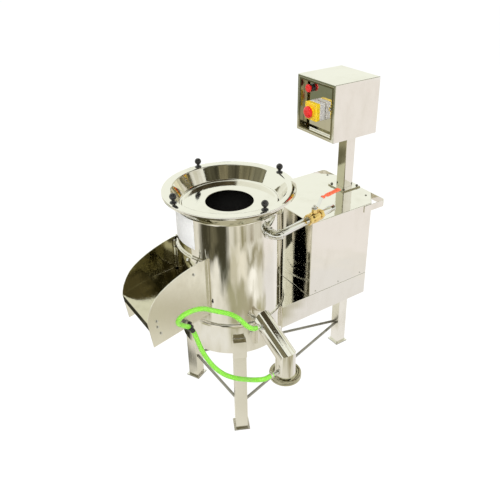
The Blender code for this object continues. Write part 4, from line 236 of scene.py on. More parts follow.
POLISHED = finish_from("sheet", "polished_stainless_sheet", {
    "Colour": (0.90, 0.885, 0.845), "Stain": (0.72, 0.69, 0.61), "Smooth": 0.035, "Dull": 0.15,
    "Wave Height": 1.0, "Grain Height": 0.02}, metallic=1.0, bump=0.0016)
SATIN = finish_from("sheet", "satin_stainless_tube", {
    "Colour": (0.86, 0.845, 0.79), "Stain": (0.62, 0.59, 0.50), "Smooth": 0.16, "Dull": 0.36,
    "Wave Height": 0.3, "Grain Height": 0.10}, metallic=1.0, bump=0.0008)
PANEL = finish_from("sheet", "brushed_chute_sheet", {
    "Colour": (0.95, 0.935, 0.875), "Stain": (0.78, 0.74, 0.62), "Smooth": 0.22, "Dull": 0.30,
    "Wave Height": 0.8, "Grain Height": 0.04}, metallic=1.0, bump=0.0014)
# Painted shade for the chute side panels' faces inside the chute.
CHUTE_INSIDE_SHADE = finish_from("sheet", "chute_sheet_with_painted_shade", {
    "Colour": (0.50, 0.47, 0.32), "Stain": (0.74, 0.71, 0.60), "Smooth": 0.05, "Dull": 0.22,
    "Wave Height": 1.6, "Grain Height": 0.03}, metallic=1.0, bump=0.0030)
# Steel with a painted dark reflection, for faces where the real steel mirrors dark surroundings.
PAINTED_DARK_STEEL = finish_from("sheet", "steel_with_painted_dark_reflection", {
    "Colour": (0.56, 0.54, 0.41), "Stain": (0.36, 0.33, 0.22), "Smooth": 0.06, "Dull": 0.20,
    "Wave Height": 0.8, "Grain Height": 0.03}, metallic=1.0, bump=0.0012)
SHADED = finish_from("sheet", "shaded_fold_sheet", {
    "Colour": (0.34, 0.315, 0.20), "Stain": (0.16, 0.14, 0.08), "Smooth": 0.10, "Dull": 0.24,
    "Wave Height": 0.8, "Grain Height": 0.03}, metallic=1.0, bump=0.0012)
FOLD = finish_from("sheet", "brushed_fold_sheet", {
    "Colour": (0.93, 0.92, 0.88), "Stain": (0.80, 0.77, 0.68), "Smooth": 0.55, "Dull": 0.68,
    "Wave Height": 0.3, "Grain Height": 0.10}, metallic=1.0, bump=0.0008)
CHROME = finish_from("sheet", "plated_fittings", {
    "Colour": (0.82, 0.82, 0.81), "Stain": (0.55, 0.53, 0.48), "Smooth": 0.06, "Dull": 0.24,
    "Wave Height": 0.15, "Grain Height": 0.05}, metallic=1.0, bump=0.0006)
BRASS = finish_from("sheet", "machined_brass", {
    "Colour": (0.88, 0.64, 0.24), "Stain": (0.52, 0.34, 0.12), "Smooth": 0.17, "Dull": 0.34,
    "Wave Height": 0.2, "Grain Height": 0.12}, metallic=1.0, bump=0.0008)
BLACK = finish_from("moulded", "black_knob_plastic", {
    "Colour": (0.012, 0.012, 0.013), "Dusty": 0.06, "Smooth": 0.22, "Texture Height": 0.06},
    metallic=0.0, bump=0.0003, coat=0.3)
YELLOW = finish_from("moulded", "yellow_housing_plastic", {
    "Colour": (0.95, 0.66, 0.012), "Dust": (0.75, 0.62, 0.30), "Dusty": 0.14, "Smooth": 0.30},
    metallic=0.0, bump=0.0003)
GREY = finish_from("moulded", "light_grey_plastic", {
    "Colour": (0.74, 0.73, 0.70), "Dust": (0.55, 0.52, 0.46), "Dusty": 0.2, "Smooth": 0.38},
    metallic=0.0, bump=0.0003)
RED = finish_from("moulded", "red_button_plastic", {
    "Colour": (0.80, 0.012, 0.012), "Dust": (0.6, 0.2, 0.16), "Dusty": 0.06, "Smooth": 0.20,
    "Texture Height": 0.04}, metallic=0.0, bump=0.0003, coat=0.3)
GRIP_RED = finish_from("moulded", "dipped_red_grip", {
    "Colour": (0.84, 0.125, 0.045), "Dust": (0.62, 0.34, 0.24), "Dusty": 0.22, "Smooth": 0.36,
    "Texture Height": 0.12}, metallic=0.0, bump=0.0004)
HOSE_GREEN = finish_from("moulded", "green_hose_plastic", {
    "Colour": (0.235, 0.69, 0.048), "Dust": (0.46, 0.66, 0.26), "Dusty": 0.18, "Smooth": 0.24,
    "Texture Scale": 500.0, "Texture Height": 0.10}, metallic=0.0, bump=0.0004, coat=0.25)
RUBBER = finish_from("moulded", "belt_rubber", {
    "Colour": (0.022, 0.022, 0.022), "Dusty": 0.3, "Smooth": 0.62, "Texture Height": 0.3},
    metallic=0.0, bump=0.0005)
PAINT = finish_from("moulded", "motor_enamel", {
    "Colour": (0.22, 0.26, 0.30), "Dusty": 0.2, "Smooth": 0.36, "Texture Height": 0.2},
    metallic=0.0, bump=0.0005)
LABEL = finish_from("moulded", "white_label_film", {
    "Colour": (0.86, 0.86, 0.85), "Dust": (0.66, 0.65, 0.60), "Dusty": 0.16, "Smooth": 0.30,
    "Texture Height": 0.03}, metallic=0.0, bump=0.0002)
GRIT = finish_from("cast", "bonded_grit", {
    "Colour": (0.10, 0.095, 0.09), "Deep Colour": (0.018, 0.017, 0.016), "Smooth": 0.75,
    "Lump Scale": 420.0, "Lump Height": 1.0}, metallic=0.0, bump=0.0025)
IRON = finish_from("cast", "machined_iron", {
    "Colour": (0.34, 0.34, 0.34), "Deep Colour": (0.16, 0.15, 0.14), "Smooth": 0.42,
    "Lump Scale": 500.0, "Lump Height": 0.25}, metallic=0.9, bump=0.0008)
DARK_ROD = finish_from("sheet", "dull_round_bar", {
    "Colour": (0.36, 0.35, 0.32), "Stain": (0.14, 0.11, 0.08), "Smooth": 0.30, "Dull": 0.55,
    "Wave Height": 0.1, "Grain Height": 0.3}, metallic=1.0, bump=0.0008)
# The chute floor's top: real rub marks, with painted shade that darkens toward the drum.
FLOOR_SHEET = finish_from("sheet", "slid_on_sheet_with_painted_shade", {
    "Stain": (0.22, 0.18, 0.10), "Smooth": 0.07, "Dull": 0.30, "Wave Height": 1.4, "Grain Height": 0.03},
    metallic=1.0, bump=0.0028)

CHUTE_LIP = 0.414
FLOOR_PALE = 0.350
FLOOR_SHADE_REACH = 0.295
FLOOR_FRONT_Z = 0.606
FLOOR_RISE_SHARE = 0.2632


def pale_toward_lip(material):
    """Paints shade on the chute floor's sheet: dark toward the drum, brighter toward its free end."""
    tree = material.node_tree
    place = place_on_piece(tree)
    patches = noise(tree, 14.0, 3.0)
    reach = math_node(tree, "ADD", place["X"], ramp(tree, patches, 0.3, 0.7, -0.035, 0.035))
    chute_shade = ramp(tree, reach, AXIS.x - FLOOR_PALE, AXIS.x - FLOOR_SHADE_REACH)
    colour = mix_colour(tree, chute_shade, (0.66, 0.63, 0.50), (0.22, 0.20, 0.12))
    group = next(node for node in tree.nodes if node.type == "GROUP")
    tree.links.new(colour, group.inputs["Colour"])


def pale_under_floor(material):
    """Keeps the side panels' sheet bright below the chute floor; above it, inside the chute, it has painted
    shade.
    """
    tree = material.node_tree
    place = place_on_piece(tree)
    behind_lip = math_node(tree, "SUBTRACT", place["X"], AXIS.x - CHUTE_LIP)
    rise = math_node(tree, "MULTIPLY", behind_lip, FLOOR_RISE_SHARE)
    above = math_node(tree, "SUBTRACT", place["Z"], math_node(tree, "ADD", rise, FLOOR_FRONT_Z))
    group = next(node for node in tree.nodes if node.type == "GROUP")
    chute_shade = tuple(group.inputs["Colour"].default_value)[:3]
    colour = mix_colour(tree, ramp(tree, above, -0.004, 0.0), (0.93, 0.915, 0.86), chute_shade)
    tree.links.new(colour, group.inputs["Colour"])


pale_toward_lip(FLOOR_SHEET)
pale_under_floor(CHUTE_INSIDE_SHADE)


# Making pieces

def spun(profile, steps, place=None):
    """Turns a profile of radius and height pairs about Z; one that ends on the axis isn't closed there."""
    bm = bmesh.new()
    points = [bm.verts.new((radius, 0.0, height)) for radius, height in profile]
    edges = [bm.edges.new(pair) for pair in zip(points, points[1:])]
    if min(radius for radius, height in profile) > 0.0:
        edges.append(bm.edges.new((points[-1], points[0])))
    bmesh.ops.spin(bm, geom=points + edges, cent=(0, 0, 0), axis=(0, 0, 1), angle=math.tau, steps=steps,
                   use_merge=True)
    bmesh.ops.remove_doubles(bm, verts=bm.verts, dist=1e-6)
    if place is not None:
        bm.transform(place)
    return bm


def rod(radius, low, high, steps, place=None):
    """A plain round bar between two heights."""
    return spun([(0.0, low), (radius, low), (radius, high), (0.0, high)], steps, place)


def raised(outline, low, high, place=None):
    """Draws an outline up from one height to another."""
    bm = bmesh.new()
    face = bm.faces.new([bm.verts.new((x, y, low)) for x, y in outline])
    grown = bmesh.ops.extrude_face_region(bm, geom=[face], use_keep_orig=True)
    top = [item for item in grown["geom"] if isinstance(item, bmesh.types.BMVert)]
    bmesh.ops.translate(bm, verts=top, vec=(0.0, 0.0, high - low))
    if place is not None:
        bm.transform(place)
    return bm


def block(low, high):
    bm = bmesh.new()
    centre = (Vector(low) + Vector(high)) / 2
    size = Vector(high) - Vector(low)
    bmesh.ops.create_cube(bm, size=1.0, matrix=Matrix.Translation(centre) @ Matrix.Diagonal((*size, 1.0)))
    return bm


def along(origin, direction):
    """A place whose own Z runs in the given direction."""
    axis_z = Vector(direction).normalized()
    across = axis_z.cross(Vector((0.0, 0.0, 1.0)))
    if across.length < 0.01:
        across = axis_z.cross(Vector((1.0, 0.0, 0.0)))
    axis_y = across.normalized()
    axis_x = axis_y.cross(axis_z)
    return Matrix.Translation(Vector(origin)) @ Matrix((axis_x, axis_y, axis_z)).transposed().to_4x4()


def polar(angle_deg, radius, height=0.0):
    angle = math.radians(angle_deg)
    return Vector((radius * math.cos(angle), radius * math.sin(angle), height))


def soften(bm, offset, segments=3, test=None):
    """Rounds the sharp edges of a shell, or those of them that a test picks."""
    picked = [edge for edge in bm.edges
              if edge.is_manifold and edge.calc_face_angle() > EDGE_ANGLE and (test is None or test(edge))]
    bmesh.ops.bevel(bm, geom=picked, offset=offset, segments=segments, profile=0.5, affect="EDGES",
                    material=-1, clamp_overlap=True)
    return bm


def mesh_from(name, bm):
    mesh = bpy.data.meshes.new(name)
    bm.to_mesh(mesh)
    bm.free()
    return mesh


def linked(name, data):
    made = bpy.data.objects.new(name, data)
    bpy.context.scene.collection.objects.link(made)
    return made


def skinned(loops):
    """A skin over loops of points, each joined to the next and the last to the first."""
    bm = bmesh.new()
    rows = [[bm.verts.new(point) for point in loop] for loop in loops]
    for first, second in zip(rows, rows[1:] + rows[:1]):
        for index in range(len(first)):
            bm.faces.new((first[index - 1], first[index], second[index], second[index - 1]))
    return bm


def tube(name, points, radius, resolution, material):
    """A round curve through a run of points, given back with its spline."""
    curve = bpy.data.curves.new(name, "CURVE")
    curve.dimensions = "3D"
    curve.bevel_depth = radius
    curve.bevel_resolution = resolution
    curve.use_fill_caps = True
    spline = curve.splines.new("POLY")
    spline.points.add(len(points) - 1)
    for place, point in zip(spline.points, points):
        place.co = (*point, 1.0)
    curve.materials.append(material)
    return linked(name, curve), spline


def merged(*parts):
    """Several shells in one mesh."""
    whole = bmesh.new()
    for part in parts:
        mesh = mesh_from("part", part)
        whole.from_mesh(mesh)
        bpy.data.meshes.remove(mesh)
    return whole


def carved(bm, *cutters):
    """Cuts shapes out of a closed shell and gives back the result."""
    objects = []
    for shape in (bm, *cutters):
        bmesh.ops.recalc_face_normals(shape, faces=shape.faces)
        if shape.calc_volume(signed=True) < 0.0:
            bmesh.ops.reverse_faces(shape, faces=shape.faces)
        objects.append(linked("shape", mesh_from("shape", shape)))
    for cutter in objects[1:]:
        step = objects[0].modifiers.new("cut", "BOOLEAN")
        step.operation = "DIFFERENCE"
        step.object = cutter
    graph = bpy.context.evaluated_depsgraph_get()
    result = bmesh.new()
    evaluated = objects[0].evaluated_get(graph)
    result.from_mesh(evaluated.to_mesh())
    evaluated.to_mesh_clear()
    for made in objects:
        mesh = made.data
        bpy.data.objects.remove(made)
        bpy.data.meshes.remove(mesh)
    return result


def shade(mesh, crease_deg):
    mesh.shade_smooth()
    mesh.set_sharp_from_angle(angle=math.radians(crease_deg))


def fit(name, bm, material, body="frame", stands_for=(), crease=34.0, closed=True, shift=True):
    """Makes the finished object, at the origin, and hangs it on its body."""
    if shift:
        bm.transform(TO_MACHINE)
    bmesh.ops.recalc_face_normals(bm, faces=bm.faces)
    if closed and bm.calc_volume(signed=True) < 0.0:
        bmesh.ops.reverse_faces(bm, faces=bm.faces)
    mesh = mesh_from(name, bm)
    shade(mesh, crease)
    mesh.materials.append(material)
    made = linked(name, mesh)
    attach(made, body)
    if stands_for:
        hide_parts(*stands_for)
    return made


def dressed(node, material, body="frame", bevel=0.0, segments=3, crease=34.0):
    """A merged, edge-rounded copy of a solid that stands for it."""
    bm = bmesh.new()
    bm.from_mesh(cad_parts[node].data)
    bmesh.ops.remove_doubles(bm, verts=bm.verts, dist=1e-5)
    bmesh.ops.dissolve_limit(bm, angle_limit=math.radians(0.4), verts=bm.verts, edges=bm.edges)
    made = fit(node + "_sheet", bm, material, body, (node,), crease, shift=False)
    if bevel > 0.0:
        step = made.modifiers.new("rounded_edges", "BEVEL")
        step.width = bevel
        step.segments = segments
        step.limit_method = "ANGLE"
        step.angle_limit = EDGE_ANGLE
    flat = made.modifiers.new("flat_faces", "WEIGHTED_NORMAL")
    flat.mode = "FACE_AREA"
    flat.keep_sharp = True
    return made


def second_finish(piece, material, test):
    """Gives the faces that pass the test another finish."""
    piece.data.materials.append(material)
    for face in piece.data.polygons:
        if test(face):
            face.material_index = 1


# Fasteners

def screw_head(point, direction, radius, height):
    """A domed head with a cross recess, its seat on a surface."""
    place = along(point, direction)
    head = spun([(0.0, 0.0), (radius, 0.0), (radius, height * 0.35), (radius * 0.86, height * 0.72),
                 (radius * 0.5, height * 0.96), (0.0, height)], 24, place)
    arm = radius * 0.58
    width = radius * 0.11
    cross = block((-arm, -width, height * 0.45), (arm, width, height * 1.5))
    other = block((-width, -arm, height * 0.45), (width, arm, height * 1.5))
    cross.transform(place)
    other.transform(place)
    return carved(head, cross, other)


def bolt_head(point, direction, across, height):
    """A hexagon head on a round washer."""
    place = along(point, direction)
    rim = across * 0.78
    thick = height * 0.22
    washer = rod(rim, 0.0, thick, 32, place)
    radius = across / 2 / math.cos(math.pi / 6)
    hexagon = [polar(60.0 * index, radius).xy for index in range(6)]
    head = soften(raised(hexagon, thick, height), height * 0.08, 2)
    head.transform(place)
    return merged(washer, head)


# Drum, hopper and base ring

DRUM = 0.200
WALL = 0.003
DRUM_STEPS = 160
OUTLET_LOW = 0.657
OUTLET_HIGH = 0.762
OUTLET_HALF_DEG = 22.2
INLET_DEG = -79.4
INLET_HEIGHT = 0.864
PIPE_BORE = 0.011
FLARE_LOW = 0.926
LABEL_LOW = 0.806
LABEL_HIGH = 0.926
LABEL_START_DEG = -161.0
LABEL_TURN_DEG = -44.0


def bent_block(inner, outer, low, high, start_deg, turn_deg, steps):
    """A block bent round the drum's axis between two radii, two heights and two angles."""
    bm = bmesh.new()
    corners = ((inner, low), (outer, low), (outer, high), (inner, high))
    face = bm.faces.new([bm.verts.new(polar(start_deg, radius, height)) for radius, height in corners])
    bmesh.ops.spin(bm, geom=[face, *face.edges, *face.verts], cent=(0, 0, 0), axis=(0, 0, 1),
                   angle=math.radians(turn_deg), steps=steps)
    return bm


def drum_piece():
    """The shell with its flared top and flange, open at the chute, the water pipe and the drain."""
    inner = DRUM - WALL
    profile = [(0.028, 0.445), (DRUM - 0.002, 0.445), (DRUM, 0.447)]
    profile += [(DRUM, height) for height in (0.50, 0.56, 0.62, 0.65, 0.69, 0.73, 0.77, 0.80, 0.86, 0.918)]
    profile += [(0.2004, 0.924), (0.2024, 0.930), (0.2350, 0.9645), (0.2372, 0.966), (0.2450, 0.966),
                (0.2460, 0.967), (0.2460, 0.970), (0.2450, 0.971), (0.2165, 0.971), (0.2165, 0.966),
                (0.2330, 0.9655), (0.1990, 0.930), (inner, 0.922), (inner, 0.448), (0.028, 0.448)]
    shell = spun(profile, DRUM_STEPS)
    water_place = along(polar(INLET_DEG, 0.193, INLET_HEIGHT), polar(INLET_DEG, 1.0))
    water = rod(PIPE_BORE, 0.0, 0.012, 24, water_place)
    mouth = bent_block(0.18, 0.21, OUTLET_LOW, OUTLET_HIGH, 180.0 - OUTLET_HALF_DEG, OUTLET_HALF_DEG * 2, 28)
    shell = carved(shell, mouth, water, drain_cutter())
    wall = fit("drum_wall", shell, POLISHED, "frame", ("drum_shell",))
    # The flare's underside has a painted dark reflection.
    second_finish(wall, PAINTED_DARK_STEEL, lambda face: face.center.z > FLARE_LOW and face.normal.z < -0.3)


DRAIN_DEG = -87.3
DRAIN_OUT = polar(DRAIN_DEG, 1.0)
DRAIN_SIDE = Vector((-DRAIN_OUT.y, DRAIN_OUT.x, 0.0))
SKIRT = 0.206
DRAIN_ROOT_HEIGHT = 0.489
DRAIN_REACH = 0.130
DRAIN_FALL = 0.069
DRAIN_DROP = 0.1015
DRAIN_RADIUS = 0.038
DRAIN_WALL = 0.002
SADDLE_RADIUS = 0.1975
RING_POINTS = 96
DRAIN_ROOT = polar(DRAIN_DEG, SKIRT, DRAIN_ROOT_HEIGHT)
DRAIN_BEND = DRAIN_ROOT + DRAIN_OUT * DRAIN_REACH - Vector((0.0, 0.0, DRAIN_FALL))
DRAIN_SLOPE = (DRAIN_BEND - DRAIN_ROOT).normalized()
DRAIN_END = DRAIN_BEND - Vector((0.0, 0.0, DRAIN_DROP))


def drain_cutter():
    """The hole that the drain tube needs through the drum's wall and the skirt."""
    return rod(DRAIN_RADIUS + 0.0004, 0.0, 0.16, 48, along(DRAIN_ROOT - DRAIN_SLOPE * 0.08, DRAIN_SLOPE))


def hopper_piece():
    """The lift-off ring: flange, cone, and a sunk plate with a pressed bead and the throat."""
    profile = [
        (0.0895, 0.9205), (0.0900, 0.9200), (0.1855, 0.9200), (0.2142, 0.9713), (0.2450, 0.9713),
        (0.2460, 0.9723), (0.2460, 0.9758), (0.2456, 0.9765), (0.2450, 0.9768), (0.2180, 0.9768),
        (0.2150, 0.9764), (0.2128, 0.9748), (0.2112, 0.9722), (0.1860, 0.9270), (0.1846, 0.9250),
        (0.1826, 0.9240), (0.1810, 0.9244), (0.1795, 0.9254), (0.1778, 0.9254), (0.1762, 0.9240),
        (0.1740, 0.9231), (0.1700, 0.9230), (0.0925, 0.9230), (0.0905, 0.9226), (0.0895, 0.9216),
    ]
    fit("hopper_ring", spun(profile, DRUM_STEPS), POLISHED, "hopper_ring", ("hopper",), crease=40.0)


KNOBS = (("knob_back", 0.0), ("knob_left", 90.0), ("knob_front", 180.0), ("knob_right", 270.0))
KNOB_CIRCLE = 0.2275
KNOB_SEAT = 0.9768
BALL_RADIUS = 0.0128
BALL_HEIGHT = 0.0238
BALL_LOW_DEG = -62.0
BALL_STEPS = 12


def knob_pieces():
    """Ball knobs with a stud, a foot and a neck, each on its washer."""
    profile = [(0.0, -0.012), (0.0038, -0.012), (0.0038, 0.0004), (0.0121, 0.0004), (0.0125, 0.0010),
               (0.0125, 0.0026), (0.0119, 0.0034), (0.0085, 0.0046), (0.0062, 0.0064), (0.0055, 0.0090),
               (0.0060, 0.0120)]
    for step in range(BALL_STEPS):
        angle = math.radians(BALL_LOW_DEG + (90.0 - BALL_LOW_DEG) * step / BALL_STEPS)
        profile.append((BALL_RADIUS * math.cos(angle), BALL_HEIGHT + BALL_RADIUS * math.sin(angle)))
    profile.append((0.0, BALL_HEIGHT + BALL_RADIUS))
    for name, angle in KNOBS:
        seat = Matrix.Translation(polar(angle, KNOB_CIRCLE, KNOB_SEAT))
        washer = spun([(0.0045, 0.0001), (0.0136, 0.0001), (0.0138, 0.0003), (0.0136, 0.0008),
                       (0.0045, 0.0008)], 36, seat)
        fit(name + "_ball", spun(profile, 40, seat), BLACK, name, (name,), crease=60.0)
        fit(name + "_washer", washer, CHROME, name)


def base_piece():
    """The skirt under the drum, with its hems, the belt's slot and the drain's hole."""
    profile = [(0.1990, 0.3725), (0.2050, 0.3725), (SKIRT, 0.3735)]
    profile += [(SKIRT, height) for height in (0.40, 0.43, 0.46, 0.49, 0.5036)]
    profile += [(0.2056, 0.5046), (0.2046, 0.5050), (0.2003, 0.5050), (0.2003, 0.5020), (0.2030, 0.5020),
                (0.2030, 0.3755), (0.1990, 0.3755)]
    slot = block((0.10, -0.135, 0.36), (0.215, 0.135, 0.4415))
    ring = carved(spun(profile, DRUM_STEPS), slot, drain_cutter())
    fit("base_skirt", ring, POLISHED, "frame", ("base_ring",))


def weld_ring(name, radius, height, start_deg, stop_deg, thickness, steps=90):
    """A fine weld bead that follows a round edge, rippled like a drawn bead."""
    places = [polar(start_deg + (stop_deg - start_deg) * index / steps, radius, height) + AXIS
              for index in range(steps + 1)]
    bead, spline = tube(name, places, thickness, 3, SATIN)
    for index, point in enumerate(spline.points):
        point.radius = 1.0 + 0.16 * math.sin(index * 2.1)
    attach(bead, "frame")


def label_piece():
    """A bare white film on the drum, bent to its wall."""
    film = bent_block(DRUM + 0.0001, DRUM + 0.0004, LABEL_LOW, LABEL_HIGH,
                      LABEL_START_DEG, LABEL_TURN_DEG, 24)
    fit("drum_label", film, LABEL)


# Water inlet

INLET_OUT = polar(INLET_DEG, 1.0)
INLET_ALONG = Vector((-INLET_OUT.y, INLET_OUT.x, 0.0))
INLET_CORNER = polar(INLET_DEG, 0.2395, INLET_HEIGHT)
PIPE_RADIUS = 0.0134
ELBOW_BEND = 0.0148
ELBOW_RADIUS = 0.0165


def threaded(length, thread_start, thread_stop, from_corner, pitch=0.0018):
    """A water pipe on the inlet's line, with turned rings where its thread shows."""
    profile = [(PIPE_BORE, 0.0), (PIPE_RADIUS, 0.0)]
    height = thread_start
    while height < thread_stop:
        profile += [(PIPE_RADIUS, height), (PIPE_RADIUS - 0.0008, height + pitch / 2)]
        height += pitch
    profile += [(PIPE_RADIUS, height), (PIPE_RADIUS, length), (PIPE_BORE, length)]
    return spun(profile, 40, along(INLET_CORNER + INLET_ALONG * from_corner, INLET_ALONG))


def elbow():
    """A bent tube with a thickened socket at each end."""
    start = INLET_CORNER - INLET_OUT * ELBOW_BEND
    bm = bmesh.new()
    bmesh.ops.create_circle(bm, cap_ends=False, segments=40, radius=ELBOW_RADIUS)
    bm.transform(along(start, INLET_OUT))
    bmesh.ops.spin(bm, geom=bm.verts[:] + bm.edges[:], cent=start + INLET_ALONG * ELBOW_BEND, axis=(0, 0, 1),
                   angle=math.radians(90.0), steps=14)
    socket = [(PIPE_BORE, 0.0), (0.0180, 0.0), (0.0187, 0.0008), (0.0187, 0.0062), (0.0180, 0.0072),
              (0.0167, 0.0080), (ELBOW_RADIUS, 0.0094), (PIPE_BORE, 0.0094)]
    parts = [bm]
    for origin, direction in ((INLET_CORNER - INLET_OUT * 0.0240, INLET_OUT),
                              (INLET_CORNER + INLET_ALONG * 0.0240, -INLET_ALONG)):
        parts.append(spun(socket, 40, along(origin, direction)))
    return merged(*parts)


def inlet_pieces():
    neck = [(PIPE_BORE, 0.0), (0.0210, 0.0), (0.0220, 0.0010), (0.0220, 0.0032), (0.0210, 0.0040),
            (0.0150, 0.0040), (0.0140, 0.0050), (PIPE_RADIUS, 0.0060), (PIPE_RADIUS, 0.0149),
            (PIPE_BORE, 0.0149)]
    stub = spun(neck, 48, along(polar(INLET_DEG, DRUM + GAP, INLET_HEIGHT), INLET_OUT))
    fit("inlet_neck", stub, CHROME, "frame", ("inlet_stub",))
    fit("inlet_bend", elbow(), CHROME, "frame", ("inlet_elbow",), crease=40.0, closed=False)
    run = threaded(length=0.1384, thread_start=0.122, thread_stop=0.136, from_corner=0.0243)
    fit("inlet_pipe", run, CHROME, "frame", ("inlet_run",), crease=50.0)
    tail = threaded(length=0.0700, thread_start=0.050, thread_stop=0.068, from_corner=0.2413)
    fit("inlet_pipe_end", tail, CHROME, "frame", ("inlet_tail",), crease=50.0)


VALVE_PLACE = along(INLET_CORNER + INLET_ALONG * 0.163, INLET_ALONG)
VALVE_MID = INLET_CORNER + INLET_ALONG * 0.202
VALVE_TURN = Matrix.Translation(VALVE_MID) @ Matrix.Rotation(math.atan2(INLET_ALONG.y, INLET_ALONG.x), 4, "Z")
STRAP_Z = 0.0361
STRAP_RISE = 0.030
STRAP_WIDTH = 0.013
GRIP_LENGTH = 0.100


def hexagon_bar(flats, low, high, rounding, place):
    """A hexagon bar with softened edges, as wide as given across its flats."""
    outline = [polar(60.0 * index + 30.0, flats / 2 / math.cos(math.pi / 6)).xy for index in range(6)]
    bar = soften(raised(outline, low, high), rounding, 2)
    bar.transform(place)
    return bar


def valve_pieces():
    """The ball valve's barrel with its hexagon ends, its boss and the gland above."""
    barrel = spun([(0.0105, 0.001), (0.0142, 0.001), (0.0142, 0.012), (0.0165, 0.0165), (0.0188, 0.0200),
                   (0.0205, 0.0245), (0.0214, 0.0300), (0.0216, 0.0390), (0.0214, 0.0480),
                   (0.0205, 0.0535), (0.0188, 0.0580), (0.0165, 0.0615), (0.0142, 0.0660),
                   (0.0142, 0.077), (0.0105, 0.077)], 56, VALVE_PLACE)
    ends = [hexagon_bar(0.037, low, low + 0.016, 0.0012, VALVE_PLACE) for low in (0.0, 0.062)]
    boss = spun([(0.0, 0.005), (0.0112, 0.005), (0.0112, 0.0260), (0.0104, 0.0280), (0.0104, 0.0318),
                 (0.0096, 0.0336), (0.0058, 0.0336), (0.0, 0.0336)], 36, Matrix.Translation(VALVE_MID))
    fit("valve_housing", merged(barrel, *ends, boss), BRASS, "frame", ("valve_body",), crease=30.0)
    fit("valve_gland", hexagon_bar(0.0185, 0.0225, 0.0285, 0.0006, VALVE_TURN), BRASS)


def lever_strap():
    """The flat strap, cranked up clear of the valve's body."""
    path = [(-0.0075, 0.0), (0.013, 0.0), (0.0165, 0.0018), (0.033, 0.0265), (0.037, STRAP_RISE),
            (0.060, STRAP_RISE)]
    bm = bmesh.new()
    row = [bm.verts.new((x, -STRAP_WIDTH / 2, STRAP_Z + rise)) for x, rise in path]
    edges = [bm.edges.new(pair) for pair in zip(row, row[1:])]
    grown = bmesh.ops.extrude_edge_only(bm, edges=edges)
    far_edge = [item for item in grown["geom"] if isinstance(item, bmesh.types.BMVert)]
    bmesh.ops.translate(bm, verts=far_edge, vec=(0.0, STRAP_WIDTH, 0.0))
    bmesh.ops.recalc_face_normals(bm, faces=bm.faces)
    bmesh.ops.solidify(bm, geom=bm.faces[:], thickness=0.0028)
    bmesh.ops.translate(bm, verts=bm.verts, vec=(0.0, 0.0, 0.0014))
    bm.transform(VALVE_TURN)
    return bm


def dipped_grip():
    """The soft sleeve, with a finger's waist near its root and a fainter one further out."""
    bm = bmesh.new()
    bmesh.ops.create_cube(bm, size=1.0)
    lengthways = [edge for edge in bm.edges if abs(edge.verts[0].co.x - edge.verts[1].co.x) > 0.5]
    bmesh.ops.subdivide_edges(bm, edges=lengthways, cuts=12)
    for vert in bm.verts:
        share = vert.co.x + 0.5
        waist = 0.22 * math.exp(-((share - 0.16) / 0.10) ** 2)
        faint = 0.10 * math.exp(-((share - 0.62) / 0.2) ** 2)
        swell = 1.0 - waist - faint
        vert.co = (share * GRIP_LENGTH, vert.co.y * 0.0178 * swell, vert.co.z * 0.0086 * swell)
    soften(bm, 0.0030, 5)
    bm.transform(VALVE_TURN @ Matrix.Translation((0.0410, 0.0, STRAP_Z + STRAP_RISE)))
    return bm


def lever_pieces():
    eye = spun([(0.0, 0.0346), (0.0118, 0.0346), (0.0120, 0.0350), (0.0120, 0.0378), (0.0116, 0.0382),
                (0.0, 0.0382)], 36, VALVE_TURN)
    stem = spun([(0.0, 0.030), (0.0046, 0.030), (0.0048, 0.0400), (0.0044, 0.0484), (0.0038, 0.0490),
                 (0.0, 0.0490)], 28, VALVE_TURN)
    nut = hexagon_bar(0.0160, 0.0383, 0.0436, 0.0007, VALVE_TURN)
    fit("lever_strap", merged(lever_strap(), eye, stem, nut), CHROME, "lever", ("valve_lever",), crease=30.0)
    fit("lever_sleeve", dipped_grip(), GRIP_RED, "lever", ("lever_grip",), crease=60.0)


# Drain

def drain_rings(radius):
    """One skin of the tube: saddle inside the drum's wall, mitre and foot, as three rings of points."""
    rise = DRAIN_SLOPE.cross(DRAIN_SIDE).normalized()
    plane = (DRAIN_SLOPE + Vector((0.0, 0.0, -1.0))).normalized()
    flat = DRAIN_SLOPE.x ** 2 + DRAIN_SLOPE.y ** 2
    saddle, mitre, foot = [], [], []
    for index in range(RING_POINTS):
        angle = math.tau * index / RING_POINTS
        start = DRAIN_BEND + (DRAIN_SIDE * math.cos(angle) + rise * math.sin(angle)) * radius
        bend = start + DRAIN_SLOPE * ((DRAIN_BEND - start).dot(plane) / DRAIN_SLOPE.dot(plane))
        half = start.x * DRAIN_SLOPE.x + start.y * DRAIN_SLOPE.y
        beyond = start.x ** 2 + start.y ** 2 - SADDLE_RADIUS ** 2
        saddle.append(start + DRAIN_SLOPE * ((-half + math.sqrt(half ** 2 - flat * beyond)) / flat))
        mitre.append(bend)
        foot.append(Vector((bend.x, bend.y, DRAIN_END.z)))
    return saddle, mitre, foot


def drain_pieces():
    outer = drain_rings(DRAIN_RADIUS)
    inner = drain_rings(DRAIN_RADIUS - DRAIN_WALL)
    fit("drain_tube", skinned(outer + inner[::-1]), POLISHED, "frame", ("drain_pipe",), crease=30.0)
    seat = Matrix.Translation(DRAIN_END)
    collar = spun([(0.0383, 0.0), (0.0570, 0.0), (0.0590, 0.0008), (0.0600, 0.0030), (0.0600, 0.0070),
                   (0.0584, 0.0090), (0.0560, 0.0098), (0.0560, 0.0118), (0.0584, 0.0126),
                   (0.0600, 0.0146), (0.0600, 0.0190), (0.0590, 0.0212), (0.0570, 0.0220),
                   (0.0400, 0.0220), (0.0383, 0.0210)], 96, seat)
    # The drain's collar has a painted dark reflection.
    ferrule = fit("drain_ferrule", collar, PAINTED_DARK_STEEL, "frame", ("drain_collar",), crease=40.0)
    ferrule.visible_glossy = False


